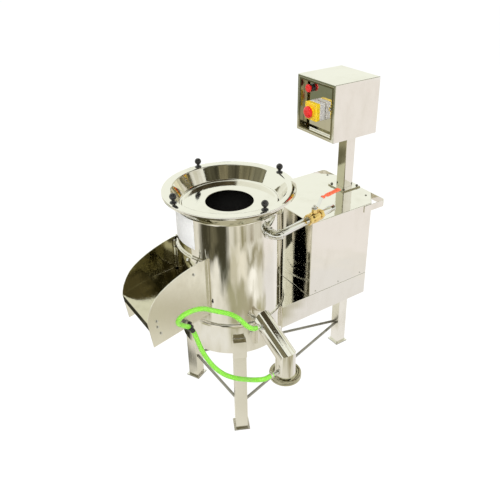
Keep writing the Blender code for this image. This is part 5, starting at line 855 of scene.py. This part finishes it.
def smooth_points(points, count):
    """Reads evenly spaced points off a centripetal curve through the route."""
    padded = [points[0] * 2 - points[1]] + points + [points[-1] * 2 - points[-2]]
    fine = []
    pieces = 12
    for index in range(1, len(padded) - 2):
        p0, p1, p2, p3 = padded[index - 1:index + 3]
        knots = [0.0]
        for a, b in ((p0, p1), (p1, p2), (p2, p3)):
            knots.append(knots[-1] + math.sqrt((b - a).length))
        for step in range(pieces):
            t = knots[1] + (knots[2] - knots[1]) * step / pieces
            a1 = p0.lerp(p1, (t - knots[0]) / (knots[1] - knots[0]))
            a2 = p1.lerp(p2, (t - knots[1]) / (knots[2] - knots[1]))
            a3 = p2.lerp(p3, (t - knots[2]) / (knots[3] - knots[2]))
            b1 = a1.lerp(a2, (t - knots[0]) / (knots[2] - knots[0]))
            b2 = a2.lerp(a3, (t - knots[1]) / (knots[3] - knots[1]))
            fine.append(b1.lerp(b2, (t - knots[1]) / (knots[2] - knots[1])))
    fine.append(points[-1])
    lengths = [0.0]
    for a, b in zip(fine, fine[1:]):
        lengths.append(lengths[-1] + (b - a).length)
    even = []
    place = 0
    for index in range(count):
        target = lengths[-1] * index / (count - 1)
        while place < len(fine) - 2 and lengths[place + 1] < target:
            place += 1
        share = (target - lengths[place]) / (lengths[place + 1] - lengths[place])
        even.append(fine[place].lerp(fine[place + 1], share))
    return even, lengths[-1]


HOSE_RADIUS = 0.0092
HOSE_LEAD = 0.0175
HOSE_POINTS = 110
SPIGOT_LENGTH = 0.020
# The hose's middle line between its spigots: followed in the photograph, its depth judged.
HOSE_ROUTE = (
    (-0.0939, -0.2472, 0.5434),
    (-0.1110, -0.2232, 0.5672),
    (-0.1248, -0.1941, 0.5742),
    (-0.1426, -0.1707, 0.5765),
    (-0.1626, -0.1563, 0.5821),
    (-0.1834, -0.1497, 0.5927),
    (-0.2088, -0.1505, 0.6089),
    (-0.2401, -0.1583, 0.6255),
    (-0.2719, -0.1628, 0.6324),
    (-0.2939, -0.1595, 0.6268),
    (-0.3085, -0.1520, 0.6135),
    (-0.3139, -0.1434, 0.5955),
    (-0.3090, -0.1352, 0.5766),
    (-0.2876, -0.1265, 0.5541),
    (-0.2607, -0.1229, 0.5313),
    (-0.2478, -0.1264, 0.5063),
    (-0.2404, -0.1362, 0.4724),
    (-0.2316, -0.1508, 0.4301),
    (-0.2177, -0.1665, 0.3895),
    (-0.1963, -0.1854, 0.3500),
    (-0.1734, -0.2042, 0.3249),
    (-0.1511, -0.2252, 0.3134),
    (-0.1329, -0.2500, 0.3149),
    (-0.1226, -0.2773, 0.3272),
    (-0.1121, -0.3161, 0.3490),
    (-0.0943, -0.3340, 0.3544),
)


def spigot_lines():
    """Where each spigot leaves the drain tube, and which way."""
    foot = DRAIN_ROOT + DRAIN_SLOPE * 0.020
    rise = DRAIN_SIDE.cross(DRAIN_SLOPE).normalized()
    rise = -rise if rise.z < 0.0 else rise
    angle = math.radians(150.0)
    top = (DRAIN_SIDE * math.cos(angle) + rise * math.sin(angle)).normalized()
    end = -DRAIN_SIDE
    reach = DRAIN_RADIUS + GAP
    return ((foot + top * reach, top), (DRAIN_END + Vector((0.0, 0.0, 0.036)) + end * reach, end))


def hose_pieces():
    route = [Vector(point) for point in HOSE_ROUTE]
    for index, (origin, direction) in enumerate(spigot_lines()):
        tip = origin + direction * (SPIGOT_LENGTH + GAP)
        leads = [tip, tip + direction * HOSE_LEAD, tip + direction * HOSE_LEAD * 2]
        route = leads + route if index == 0 else route + leads[::-1]
    points, length = smooth_points([point + AXIS for point in route], HOSE_POINTS)
    hose, spline = tube("green_hose", points, HOSE_RADIUS, 8, HOSE_GREEN)
    spline.use_smooth = True
    hose.visible_glossy = False
    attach(hose, "frame")
    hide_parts("rinse_hose")


def spigot_pieces():
    """Barbed spigots, and a clamp on the hose at each."""
    names = (("upper", "spigot_top"), ("lower", "spigot_end"))
    for (name, node), (origin, direction) in zip(names, spigot_lines()):
        profile = [(0.0, 0.0), (0.0100, 0.0), (0.0105, 0.0006), (0.0105, 0.0052), (0.0098, 0.0060),
                   (0.0073, 0.0062)]
        for ring in range(3):
            height = 0.0075 + ring * 0.0036
            profile += [(0.0066, height), (0.0075, height + 0.0028), (0.0066, height + 0.0034)]
        profile += [(0.0066, SPIGOT_LENGTH), (0.0, SPIGOT_LENGTH)]
        barbed = spun(profile, 32, along(origin, direction))
        fit("hose_spigot_" + name, barbed, CHROME, "frame", (node,), crease=40.0)
        clamp_place = along(origin + direction * (SPIGOT_LENGTH + 0.0045), direction)
        inner = HOSE_RADIUS + 0.0001
        outer = HOSE_RADIUS + 0.0008
        band = spun([(inner, 0.0), (outer, 0.0), (outer, 0.009), (inner, 0.009)], 40, clamp_place)
        box = block((HOSE_RADIUS + 0.0006, -0.0055, 0.0008), (HOSE_RADIUS + 0.0062, 0.0055, 0.0082))
        soften(box, 0.0012, 2)
        screw_place = Matrix.Translation((HOSE_RADIUS + 0.0034, 0.0, 0.0045))
        sideways = screw_place @ Matrix.Rotation(math.pi / 2, 4, "X")
        fitting = merged(box, rod(0.0036, -0.0095, -0.0055, 20, sideways))
        fitting.transform(clamp_place)
        fit("hose_clamp_" + name, merged(band, fitting), SATIN)


PANEL_OUT = 0.109
CLIP_PLAY = 0.0014
CLIP_WALL = 0.003
CLIP_TILT = math.radians(50.2)


def clip_pieces():
    """The clip's ring and foot on the near panel, and its fluted screw knob."""
    bore = HOSE_RADIUS + CLIP_PLAY
    centre = Vector((-0.2607, -(PANEL_OUT + GAP + CLIP_WALL + bore), 0.5313))
    lengthways = Vector((math.cos(CLIP_TILT), 0.0, -math.sin(CLIP_TILT)))
    ring = spun([(bore, 0.0), (bore + 0.0026, 0.0), (bore + 0.0030, 0.0005), (bore + 0.0030, 0.0115),
                 (bore + 0.0026, 0.0120), (bore, 0.0120)], 40, along(centre - lengthways * 0.006, lengthways))
    foot = soften(block((-0.0170, -0.0070, 0.1093), (0.0170, 0.0070, 0.1117)), 0.0009, 2)
    foot.transform(Matrix.Translation((centre.x, 0.0, centre.z)) @ Matrix.Rotation(math.pi / 2, 4, "X")
                   @ Matrix.Rotation(math.pi / 2 - CLIP_TILT, 4, "Z"))
    fit("hose_clip_ring", merged(ring, foot), BLACK, "frame", ("hose_clip",), crease=40.0)
    seat = bore + CLIP_WALL + GAP
    facing = along(centre, (0.0, -1.0, 0.0))
    profile = [(0.0, 0.0), (0.0045, 0.0), (0.0045, 0.0040), (0.0082, 0.0056), (0.0090, 0.0066),
               (0.0090, 0.0106), (0.0084, 0.0122), (0.0062, 0.0138), (0.0, 0.0140)]
    body = spun([(radius, seat + height) for radius, height in profile], 48, facing)
    grooves = [rod(0.0013, seat + 0.0045, seat + 0.016, 10,
                   facing @ Matrix.Translation(polar(30.0 * index, 0.0097))) for index in range(12)]
    fit("hose_clip_knob", carved(body, *grooves), BLACK, "clip_screw", ("clip_knob",), crease=40.0)


# Control box and its devices

PANEL_FACE = 0.428
STOP_BASE_DEPTH = 0.026
STOP_COVER_DEPTH = 0.018
STOP_HALF = 0.034
STOP_SCREW_OUT = 0.0275
STOP_BORE = 0.0118
STOP_FRONT = -(PANEL_FACE - GAP * 2 - STOP_BASE_DEPTH - STOP_COVER_DEPTH)
STOP_FACING = along((0.0, 0.016, 1.184), (-1.0, 0.0, 0.0))


def stop_cover_pieces():
    """The yellow cover with its collar and its four sunk screws, on a grey base."""
    dressed("stop_base", GREY, bevel=0.0012)
    front = STOP_FRONT
    cover = block((-STOP_HALF, -STOP_HALF, front - STOP_COVER_DEPTH), (STOP_HALF, STOP_HALF, front))
    soften(cover, 0.005, 5, lambda edge: abs(edge.verts[0].co.z - edge.verts[1].co.z) > 0.01)
    soften(cover, 0.0028, 4, lambda edge: min(vert.co.z for vert in edge.verts) > front - 0.0005)
    cover.transform(STOP_FACING)
    collar = spun([(STOP_BORE, front - 0.002), (0.0185, front - 0.002), (0.0180, front + 0.0026),
                   (0.0174, front + 0.0030), (0.0122, front + 0.0030), (STOP_BORE, front + 0.0026)],
                  56, STOP_FACING)
    cover = carved(cover, rod(STOP_BORE, front - 0.03, front + 0.01, 48, STOP_FACING))
    screw = [(0.0, 0.0), (0.0031, 0.0), (0.0031, 0.0010), (0.0020, 0.0016), (0.0, 0.0018)]
    screws = []
    for x in (-STOP_SCREW_OUT, STOP_SCREW_OUT):
        for y in (-STOP_SCREW_OUT, STOP_SCREW_OUT):
            place = STOP_FACING @ Matrix.Translation((x, y, front))
            cover = carved(cover, rod(0.0036, -0.0035, 0.004, 24, place))
            screws.append(spun(screw, 20, place @ Matrix.Translation((0.0, 0.0, -0.0034))))
    fit("stop_housing", merged(cover, collar), YELLOW, "frame", ("stop_cover",), crease=40.0)
    fit("stop_housing_screws", merged(*screws), SATIN)


def stop_button_piece():
    """The red mushroom, with shallow flutes round its rim."""
    head = STOP_FRONT + 0.0088
    mushroom = spun([
        (0.0, STOP_FRONT - 0.002), (0.0108, STOP_FRONT - 0.002), (0.0110, head), (0.0214, head),
        (0.0230, head + 0.0009), (0.0235, head + 0.0024), (0.0235, head + 0.0052), (0.0228, head + 0.0070),
        (0.0210, head + 0.0092), (0.0178, head + 0.0110), (0.0132, head + 0.0122), (0.0066, head + 0.0129),
        (0.0, head + 0.0130),
    ], 64, STOP_FACING)
    flutes = []
    for index in range(16):
        place = STOP_FACING @ Matrix.Translation(polar(22.5 * index, 0.0244, head - 0.001))
        flutes.append(spun([(0.0, 0.0), (0.0016, 0.0), (0.0016, 0.0075), (0.0, 0.0085)], 12, place))
    fit("stop_mushroom", carved(mushroom, *flutes), RED, "stop_head", ("stop_button",), crease=40.0)


def button_pieces():
    """The start button's black ring and red cap."""
    facing = along((0.0, 0.067, 1.258), (-1.0, 0.0, 0.0))
    seat = -(PANEL_FACE - GAP)
    bezel = spun([(0.0118, seat), (0.0146, seat), (0.0150, seat + 0.0006), (0.0150, seat + 0.0064),
                  (0.0146, seat + 0.0080), (0.0136, seat + 0.0088), (0.0122, seat + 0.0090),
                  (0.0118, seat + 0.0086)], 56, facing)
    fit("button_ring", bezel, BLACK, "frame", ("button_bezel",), crease=40.0)
    low = seat + 0.0045
    under = seat + 0.0135
    top = seat + 0.0205
    cap = spun([(0.0, low), (0.0113, low), (0.0113, under), (0.0146, under), (0.0155, under + 0.0008),
                (0.0158, under + 0.0020), (0.0158, top - 0.0022), (0.0152, top - 0.0010),
                (0.0138, top - 0.0002), (0.0110, top), (0.0, top - 0.0005)], 56, facing)
    fit("button_cap", cap, RED, "start_head", ("push_button",), crease=40.0)


RIM_SIDE = 0.0200
RIM_END = 0.0170
RIM_EDGE = 0.0012
RIM_SINK = 0.0004
RIM_THICK = 0.0014


def box_loop(low, high, x, side, end):
    """The box's front outline at one depth, set in from its sides and from its top and bottom."""
    left, right, bottom, top = low.y + side, high.y - side, low.z + end, high.z - end
    return [(x, left, bottom), (x, right, bottom), (x, right, top), (x, left, top)]


def box_pieces():
    """The control box with its rim, its sunk panel, and the panel's lock and screws."""
    box = dressed("control_box", POLISHED, bevel=0.0014)
    dressed("control_panel", POLISHED, bevel=0.0006, segments=2)
    low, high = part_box("control_box")
    middle = (low.y + high.y) / 2

    def inner_side(face):
        return abs(face.normal.y) > 0.9 and face.normal.y * (face.center.y - middle) < 0.0

    second_finish(box, SHADED, inner_side)
    front = low.x + RIM_SINK
    back = front + RIM_THICK
    rim = skinned([box_loop(low, high, x, side, end) for x, side, end in (
        (front, RIM_EDGE, RIM_EDGE), (front, RIM_SIDE, RIM_END),
        (back, RIM_SIDE, RIM_END), (back, RIM_EDGE, RIM_EDGE))])
    fit("control_box_rim", soften(rim, 0.0004, 2), SHADED, "frame", shift=False)
    on_panel = PANEL_FACE - 0.0001
    lock = spun([(0.0, 0.0), (0.0088, 0.0), (0.0090, 0.0004), (0.0090, 0.0030), (0.0080, 0.0040),
                 (0.0050, 0.0042), (0.0046, 0.0036), (0.0, 0.0036)], 40,
                along((on_panel, -0.040, 1.200), (-1.0, 0.0, 0.0)))
    slot = block((0.4205, -0.0409, 1.1965), (0.4246, -0.0391, 1.2035))
    fit("panel_lock", carved(lock, slot), CHROME)
    panel_screws = [screw_head((on_panel, y, z), (-1.0, 0.0, 0.0), radius=0.0034, height=0.0020)
                    for y in (-0.079, 0.103) for z in (1.102, 1.287)]
    fit("panel_screws", merged(*panel_screws), CHROME)


# Housing, chassis, strips, post

SIDE_SCREW_OUT = 0.1868
POST_X = 0.568
BOLT_OUT = 0.037


def housing_pieces():
    """The chassis and its cover with the screws on top and sides, the strips, the post and its bolts."""
    dressed("chassis", POLISHED, bevel=0.0011)
    dressed("motor_cover", POLISHED)
    dressed("strip_near", POLISHED, bevel=0.0009)
    dressed("strip_far", POLISHED, bevel=0.0009)
    plate = dressed("post_plate", POLISHED, bevel=0.0009, segments=2)
    second_finish(plate, SHADED, lambda face: abs(face.normal.z) < 0.5)
    post = dressed("control_post", POLISHED)
    # The post's faces toward -X have a painted dark reflection.
    second_finish(post, PAINTED_DARK_STEEL, lambda face: face.normal.x < -0.9)
    top = [screw_head((x, y, 0.8298), (0.0, 0.0, 1.0), radius=0.0046, height=0.0026)
           for x, y in ((0.585, 0.128), (0.578, -0.121), (0.262, 0.168), (0.262, -0.168))]
    fit("cover_top_screws", merged(*top), DARK_ROD)
    side = [screw_head((x, SIDE_SCREW_OUT * way, 0.516), (0.0, way, 0.0), radius=0.0042, height=0.0024)
            for way in (-1.0, 1.0) for x in (0.275, 0.394, 0.513)]
    fit("cover_side_screws", merged(*side), CHROME)
    bolts = [bolt_head((POST_X + x, y, 0.8352), (0.0, 0.0, 1.0), across=0.0080, height=0.0060)
             for x in (-BOLT_OUT, BOLT_OUT) for y in (-BOLT_OUT, BOLT_OUT)]
    fit("post_bolts", merged(*bolts), DARK_ROD)


# Chute, outlet, door and latch

CHUTE_BOLTS = ((-0.224, 0.737), (-0.379, 0.601), (-0.378, 0.576), (-0.368, 0.545))
CHUTE_BOLT_OUT = 0.1089
FOLD_REACH = 0.39


def chute_pieces():
    """The chute's side panels and floor, with painted shade on their faces inside the chute, and the chute's
    bolts.
    """
    for node in ("chute_panel_near", "chute_panel_far"):
        panel = dressed(node, PANEL, bevel=0.0009)
        low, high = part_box(node)
        middle = (low.y + high.y) / 2
        inward = 1.0 if AXIS.y > middle else -1.0
        # The panels' faces inside the chute get painted shade.
        second_finish(panel, CHUTE_INSIDE_SHADE, lambda face: face.normal.y * inward > 0.9)
    floor = dressed("chute_floor", POLISHED, bevel=0.0009)
    # The floor's top gets painted shade, darker toward the drum.
    second_finish(floor, FLOOR_SHEET, lambda face: face.normal.z > 0.7)
    second_finish(floor, FOLD, lambda face: face.normal.x < -0.1 and face.center.x < AXIS.x - FOLD_REACH)
    bolts = [bolt_head((x, CHUTE_BOLT_OUT * way, z), (0.0, way, 0.0), across=0.0075, height=0.0050)
             for way in (-1.0, 1.0) for x, z in CHUTE_BOLTS]
    fit("chute_bolts", merged(*bolts), CHROME)


def outlet_pieces():
    dressed("outlet_frame", POLISHED, bevel=0.0005, segments=2)
    dressed("discharge_door", POLISHED, "door", bevel=0.0006, segments=2)
    dressed("hinge_pin", CHROME, bevel=0.0004, segments=2)
    dressed("door_latch", CHROME, "latch", bevel=0.0005, segments=2, crease=50.0)


# Legs, feet, braces

LEG_ANGLE_DEG = 116.0
LEG_HEAD_OUT = 0.2320
LEG_HEAD_HALF = 0.0248
LEG_HEAD_STEPS = 8


def leg_head(side):
    """The polished bracket round a front leg's top, shaped to the base ring behind it."""
    hollow = SKIRT + GAP * 2
    outline = [(LEG_HEAD_OUT, -LEG_HEAD_HALF), (LEG_HEAD_OUT, LEG_HEAD_HALF)]
    for step in range(LEG_HEAD_STEPS + 1):
        across = LEG_HEAD_HALF - LEG_HEAD_HALF * 2 * step / LEG_HEAD_STEPS
        outline.append((math.sqrt(hollow ** 2 - across ** 2), across))
    turn = Matrix.Rotation(math.radians(LEG_ANGLE_DEG * side), 4, "Z")
    return soften(raised(outline, 0.3715, 0.4424, turn), 0.0012, 3)


def leg_pieces():
    for name in ("near", "far", "rear"):
        dressed("leg_" + name, SATIN)
        foot = dressed("foot_" + name, SATIN, bevel=0.0008, segments=2)
        # The foot plates' sides get the dark bar finish as painted shade.
        second_finish(foot, DARK_ROD, lambda face: abs(face.normal.z) < 0.5)
    for name, side in (("near", -1), ("far", 1)):
        fit("leg_head_" + name, leg_head(side), POLISHED)
    for name in ("near_far", "near_rear", "far_rear"):
        dressed("brace_" + name, DARK_ROD, crease=50.0)


# Works inside the drum and the housing

def inner_pieces():
    dressed("abrasive_lining", GRIT)
    dressed("turntable", GRIT, "table", crease=50.0)
    dressed("main_shaft", CHROME, "table", bevel=0.0008, segments=2)
    dressed("bearing_housing", IRON, bevel=0.0008, segments=2)
    dressed("driven_pulley", IRON, "table", bevel=0.0006, segments=2)
    dressed("drive_pulley", IRON, "motor_rotor", bevel=0.0006, segments=2)
    dressed("drive_belt", RUBBER, bevel=0.0004, segments=2)
    dressed("motor_body", PAINT)


# Stage, light and camera

def seen_rays(tree):
    """1 for camera, mirror and transmission rays, and 0 for the rest."""
    path = tree.nodes.new("ShaderNodeLightPath")
    seen = math_node(tree, "ADD", path.outputs["Is Camera Ray"], path.outputs["Is Glossy Ray"])
    return math_node(tree, "ADD", seen, path.outputs["Is Transmission Ray"], clamp=True)


def bare_material(name):
    """A material with nothing on its output yet, given back with its tree."""
    material = bpy.data.materials.new(name)
    material.use_nodes = True
    tree = material.node_tree
    tree.nodes.remove(tree.nodes["Principled BSDF"])
    return material, tree


def stage_material(name, colour, share):
    """A floor that camera and mirror rays see nearly white, with the machine's soft shadow kept."""
    material, tree = bare_material(name)
    diffuse = tree.nodes.new("ShaderNodeBsdfDiffuse")
    diffuse.inputs["Color"].default_value = (*colour, 1.0)
    glow = tree.nodes.new("ShaderNodeEmission")
    glow.inputs["Color"].default_value = (1.0, 1.0, 1.0, 1.0)
    glow.inputs["Strength"].default_value = 1.12
    mix = tree.nodes.new("ShaderNodeMixShader")
    tree.links.new(math_node(tree, "MULTIPLY", seen_rays(tree), share), mix.inputs[0])
    tree.links.new(diffuse.outputs[0], mix.inputs[1])
    tree.links.new(glow.outputs[0], mix.inputs[2])
    tree.links.new(mix.outputs[0], tree.nodes["Material Output"].inputs["Surface"])
    return material


def build_stage():
    bm = bmesh.new()
    bmesh.ops.create_grid(bm, x_segments=2, y_segments=2, size=40.0)
    mesh = mesh_from("studio_floor", bm)
    mesh.materials.append(stage_material("pale_floor", (0.90, 0.90, 0.89), 0.80))
    floor = linked("studio_floor", mesh)
    floor.location.z = -0.0005


def set_glow(tree, tone):
    glow = tree.nodes.new("ShaderNodeEmission")
    tree.links.new(tone, glow.inputs["Color"])
    tree.links.new(glow.outputs[0], tree.nodes["Material Output"].inputs["Surface"])


def only_mirrored(made):
    """Stages an object that only mirror rays see."""
    made.visible_camera = False
    made.visible_diffuse = False
    made.visible_shadow = False
    made.visible_transmission = False
    made.visible_volume_scatter = False


def dark_card(name, corners, colour):
    """A studio flag that only reflections see; it shapes the tones in the polished steel."""
    bm = bmesh.new()
    bm.faces.new([bm.verts.new(Vector(corner) + AXIS) for corner in corners])
    mesh = mesh_from(name, bm)
    material, tree = bare_material(name + "_cloth")
    cloth = noise(tree, 3.2, 3.0)
    tone = mix_colour(tree, ramp(tree, cloth, 0.3, 0.7), tuple(c * 0.6 for c in colour),
                      tuple(min(1.0, c * 1.7) for c in colour))
    set_glow(tree, tone)
    mesh.materials.append(material)
    only_mirrored(linked(name, mesh))


ARC_PIECES = 3


def arc_card(name, start_deg, stop_deg, radius, low, high, colour):
    """A bent flag round the machine, made of flat ones."""
    for index in range(ARC_PIECES):
        start = start_deg + (stop_deg - start_deg) * index / ARC_PIECES
        stop = start_deg + (stop_deg - start_deg) * (index + 1) / ARC_PIECES
        corners = ((start, low), (stop, low), (stop, high), (start, high))
        points = [polar(angle, radius, height) for angle, height in corners]
        dark_card("%s_%d" % (name, index), points, colour)


# Middle angle and half width in degrees, nearest and farthest distance from the drum's axis, colour.
CLOTH_PATCHES = (
    (-80.0, 9.0, 1.02, 1.44, (1.06, 1.03, 0.93)),
    (118.0, 10.0, 1.35, 1.68, (0.36, 0.34, 0.21)),
    (118.0, 10.0, 1.68, 2.40, (0.22, 0.21, 0.14)),
    (120.0, 14.0, 2.40, 3.35, (0.50, 0.47, 0.32)),
    (120.0, 14.0, 3.35, 5.40, (0.19, 0.20, 0.12)),
    (137.0, 8.0, 1.40, 2.00, (0.92, 0.90, 0.82)),
    (138.0, 9.0, 0.60, 1.40, (0.66, 0.62, 0.46)),
    (109.0, 16.0, 0.30, 1.32, (0.035, 0.035, 0.022)),
    (127.0, 12.0, 0.30, 1.18, (0.035, 0.035, 0.022)),
    (-10.0, 18.0, 0.40, 2.20, (0.93, 0.90, 0.86)),
    (-40.0, 14.0, 0.50, 1.45, (0.84, 0.81, 0.77)),
    (-40.0, 14.0, 1.45, 5.60, (0.90, 0.85, 0.80)),
    (-65.0, 10.0, 1.76, 2.40, (0.31, 0.26, 0.145)),
    (-65.0, 10.0, 1.36, 1.56, (0.38, 0.34, 0.21)),
    (-65.0, 10.0, 0.76, 1.00, (0.38, 0.35, 0.18)),
    (-84.0, 9.0, 1.76, 2.40, (0.27, 0.22, 0.13)),
    (-84.0, 9.0, 1.36, 1.56, (0.32, 0.29, 0.18)),
    (-84.0, 9.0, 0.76, 1.00, (0.38, 0.34, 0.22)),
    (-102.0, 9.0, 1.60, 2.40, (0.33, 0.30, 0.18)),
    (-102.0, 9.0, 1.25, 1.60, (0.90, 0.85, 0.70)),
    (-102.0, 9.0, 0.76, 1.22, (0.44, 0.41, 0.27)),
    (-119.0, 9.0, 0.76, 1.25, (0.42, 0.40, 0.25)),
    (-119.0, 9.0, 1.25, 1.55, (0.62, 0.58, 0.43)),
    (-156.0, 28.0, 1.38, 2.80, (0.055, 0.050, 0.028)),
    (-156.0, 5.0, 1.50, 1.95, (0.15, 0.135, 0.08)),
    (-137.0, 8.0, 1.20, 1.50, (0.10, 0.10, 0.065)),
    (-157.0, 9.0, 0.90, 1.42, (0.90, 0.87, 0.76)),
    (-177.0, 8.0, 0.85, 1.25, (0.42, 0.40, 0.26)),
    (-160.0, 28.0, 0.64, 0.84, (0.86, 0.84, 0.76)),
)


def ground_cloth():
    """Patched cloth round the machine, seen only by mirror rays, that gives the steel its tones."""
    bm = bmesh.new()
    bmesh.ops.create_circle(bm, cap_ends=True, segments=64, radius=5.6)
    mesh = mesh_from("ground_cloth", bm)
    material, tree = bare_material("patched_cloth")
    place = place_on_piece(tree)
    x, y = place["X"], place["Y"]
    squares = math_node(tree, "ADD", math_node(tree, "MULTIPLY", x, x), math_node(tree, "MULTIPLY", y, y))
    radius = math_node(tree, "SQRT", squares)
    folds = noise(tree, 2.6, 3.0)
    uneven = math_node(tree, "ADD", radius, ramp(tree, folds, 0.3, 0.7, -0.16, 0.16))
    sway = ramp(tree, noise(tree, 3.4, 3.0), 0.3, 0.7, -0.016, 0.016)
    tone = mix_colour(tree, ramp(tree, folds, 0.3, 0.7), (0.70, 0.67, 0.55), (0.86, 0.83, 0.72))
    for middle, half, near, far, colour in CLOTH_PATCHES:
        turn = math.radians(middle)
        facing = math_node(tree, "ADD", math_node(tree, "MULTIPLY", x, math.cos(turn)),
                           math_node(tree, "MULTIPLY", y, math.sin(turn)))
        facing = math_node(tree, "ADD", math_node(tree, "DIVIDE", facing, radius), sway)
        outer = math.cos(math.radians(half + 6.0))
        inner = math.cos(math.radians(max(half - 4.0, 0.5)))
        inside = ramp(tree, facing, outer, inner)
        inside = math_node(tree, "MULTIPLY", inside, ramp(tree, uneven, near - 0.10, near + 0.10))
        inside = math_node(tree, "MULTIPLY", inside, ramp(tree, uneven, far + 0.10, far - 0.10))
        tone = mix_colour(tree, inside, tone, colour)
    set_glow(tree, tone)
    mesh.materials.append(material)
    cloth = linked("ground_cloth", mesh)
    cloth.location = AXIS + Vector((0.0, 0.0, 0.001))
    only_mirrored(cloth)


FLAG_OUT = 2.6
FLAG_LOW = 1.5
FLAG_HIGH = 5.4


def build_flags():
    """The flags and cloths that stand in for the room in the steel's reflections."""
    ground_cloth()
    for name, start, stop, colour in (
        ("flag_west", 150.0, 182.0, (0.17, 0.16, 0.10)),
        ("flag_southwest", 182.0, 212.0, (0.17, 0.155, 0.09)),
        ("flag_camera", 212.0, 240.0, (0.075, 0.068, 0.04)),
        ("flag_south", 240.0, 262.0, (0.17, 0.15, 0.085)),
        ("flag_southeast", 262.0, 298.0, (0.065, 0.06, 0.035)),
        ("flag_gold", 300.0, 336.0, (0.86, 0.81, 0.55)),
    ):
        arc_card(name, start, stop, FLAG_OUT, FLAG_LOW, FLAG_HIGH, colour)
    dark_card("flag_overhead", ((-0.4, -1.0, 2.9), (2.7, -0.6, 2.9), (2.7, 1.4, 2.9), (-0.4, 0.2, 2.9)),
              (0.06, 0.05, 0.028))
    dark_card("flag_far_right", ((2.7, -0.2, 1.2), (2.7, 1.4, 1.2), (2.7, 1.4, 2.9), (2.7, -0.2, 2.9)),
              (0.52, 0.50, 0.36))


LIT_POINT = Vector((0.0, 0.0, 0.6))


def build_light():
    """An even studio world with three soft lamps round the machine."""
    world = bpy.data.worlds.new("studio_world")
    bpy.context.scene.world = world
    world.use_nodes = True
    tree = world.node_tree
    back = tree.nodes["Background"]
    mirrored = tree.nodes.new("ShaderNodeLightPath").outputs["Is Glossy Ray"]
    # Mirror rays see the world with a warm tint: a painted reflection colour.
    tint = mix_colour(tree, mirrored, (1.0, 1.0, 1.0), (0.955, 0.975, 0.86))
    tree.links.new(tint, back.inputs["Color"])
    tree.links.new(ramp(tree, seen_rays(tree), 0.0, 1.0, 0.72, 1.0), back.inputs["Strength"])
    for name, place, size, power in (
        ("key_light", (-1.7, -2.0, 2.9), 1.8, 62.0),
        ("fill_light", (1.8, -2.2, 2.3), 2.2, 34.0),
        ("back_light", (0.6, 2.4, 2.8), 2.0, 26.0),
    ):
        lamp = bpy.data.lights.new(name, "AREA")
        lamp.size = size
        lamp.energy = power
        made = linked(name, lamp)
        made.location = place
        made.rotation_euler = (LIT_POINT - Vector(place)).to_track_quat("-Z", "Y").to_euler()
        made.visible_glossy = False


PHOTO_PIXELS = 500.0
FOCAL_PIXELS = 598.85


def build_camera():
    """The pinhole camera that the photograph was taken with, as worked out from it."""
    data = bpy.data.cameras.new("photo_camera")
    data.sensor_width = 36.0
    data.lens = FOCAL_PIXELS / PHOTO_PIXELS * data.sensor_width
    data.shift_x = -0.00994
    data.shift_y = -0.05356
    camera = linked("photo_camera", data)
    yaw, pitch, roll = 0.5924, 0.4919, -0.0106
    forward = Vector((math.sin(yaw) * math.cos(pitch), math.cos(yaw) * math.cos(pitch), -math.sin(pitch)))
    camera.location = Vector((-1.0317, -1.6993, 1.8893)) + AXIS
    turn = forward.to_track_quat("-Z", "Y").to_matrix().to_4x4() @ Matrix.Rotation(roll, 4, "Z")
    camera.rotation_euler = turn.to_euler()
    bpy.context.scene.camera = camera
    bpy.context.scene.view_settings.view_transform = "Standard"


build_camera()
hose_pieces()
spigot_pieces()
drum_piece()
hopper_piece()
knob_pieces()
base_piece()
label_piece()
weld_ring("skirt_weld", radius=0.2004, height=0.5053, start_deg=-80.0, stop_deg=262.0, thickness=0.0007)
inlet_pieces()
valve_pieces()
lever_pieces()
drain_pieces()
clip_pieces()
stop_cover_pieces()
stop_button_piece()
button_pieces()
box_pieces()
housing_pieces()
chute_pieces()
outlet_pieces()
leg_pieces()
inner_pieces()
build_stage()
build_flags()
build_light()
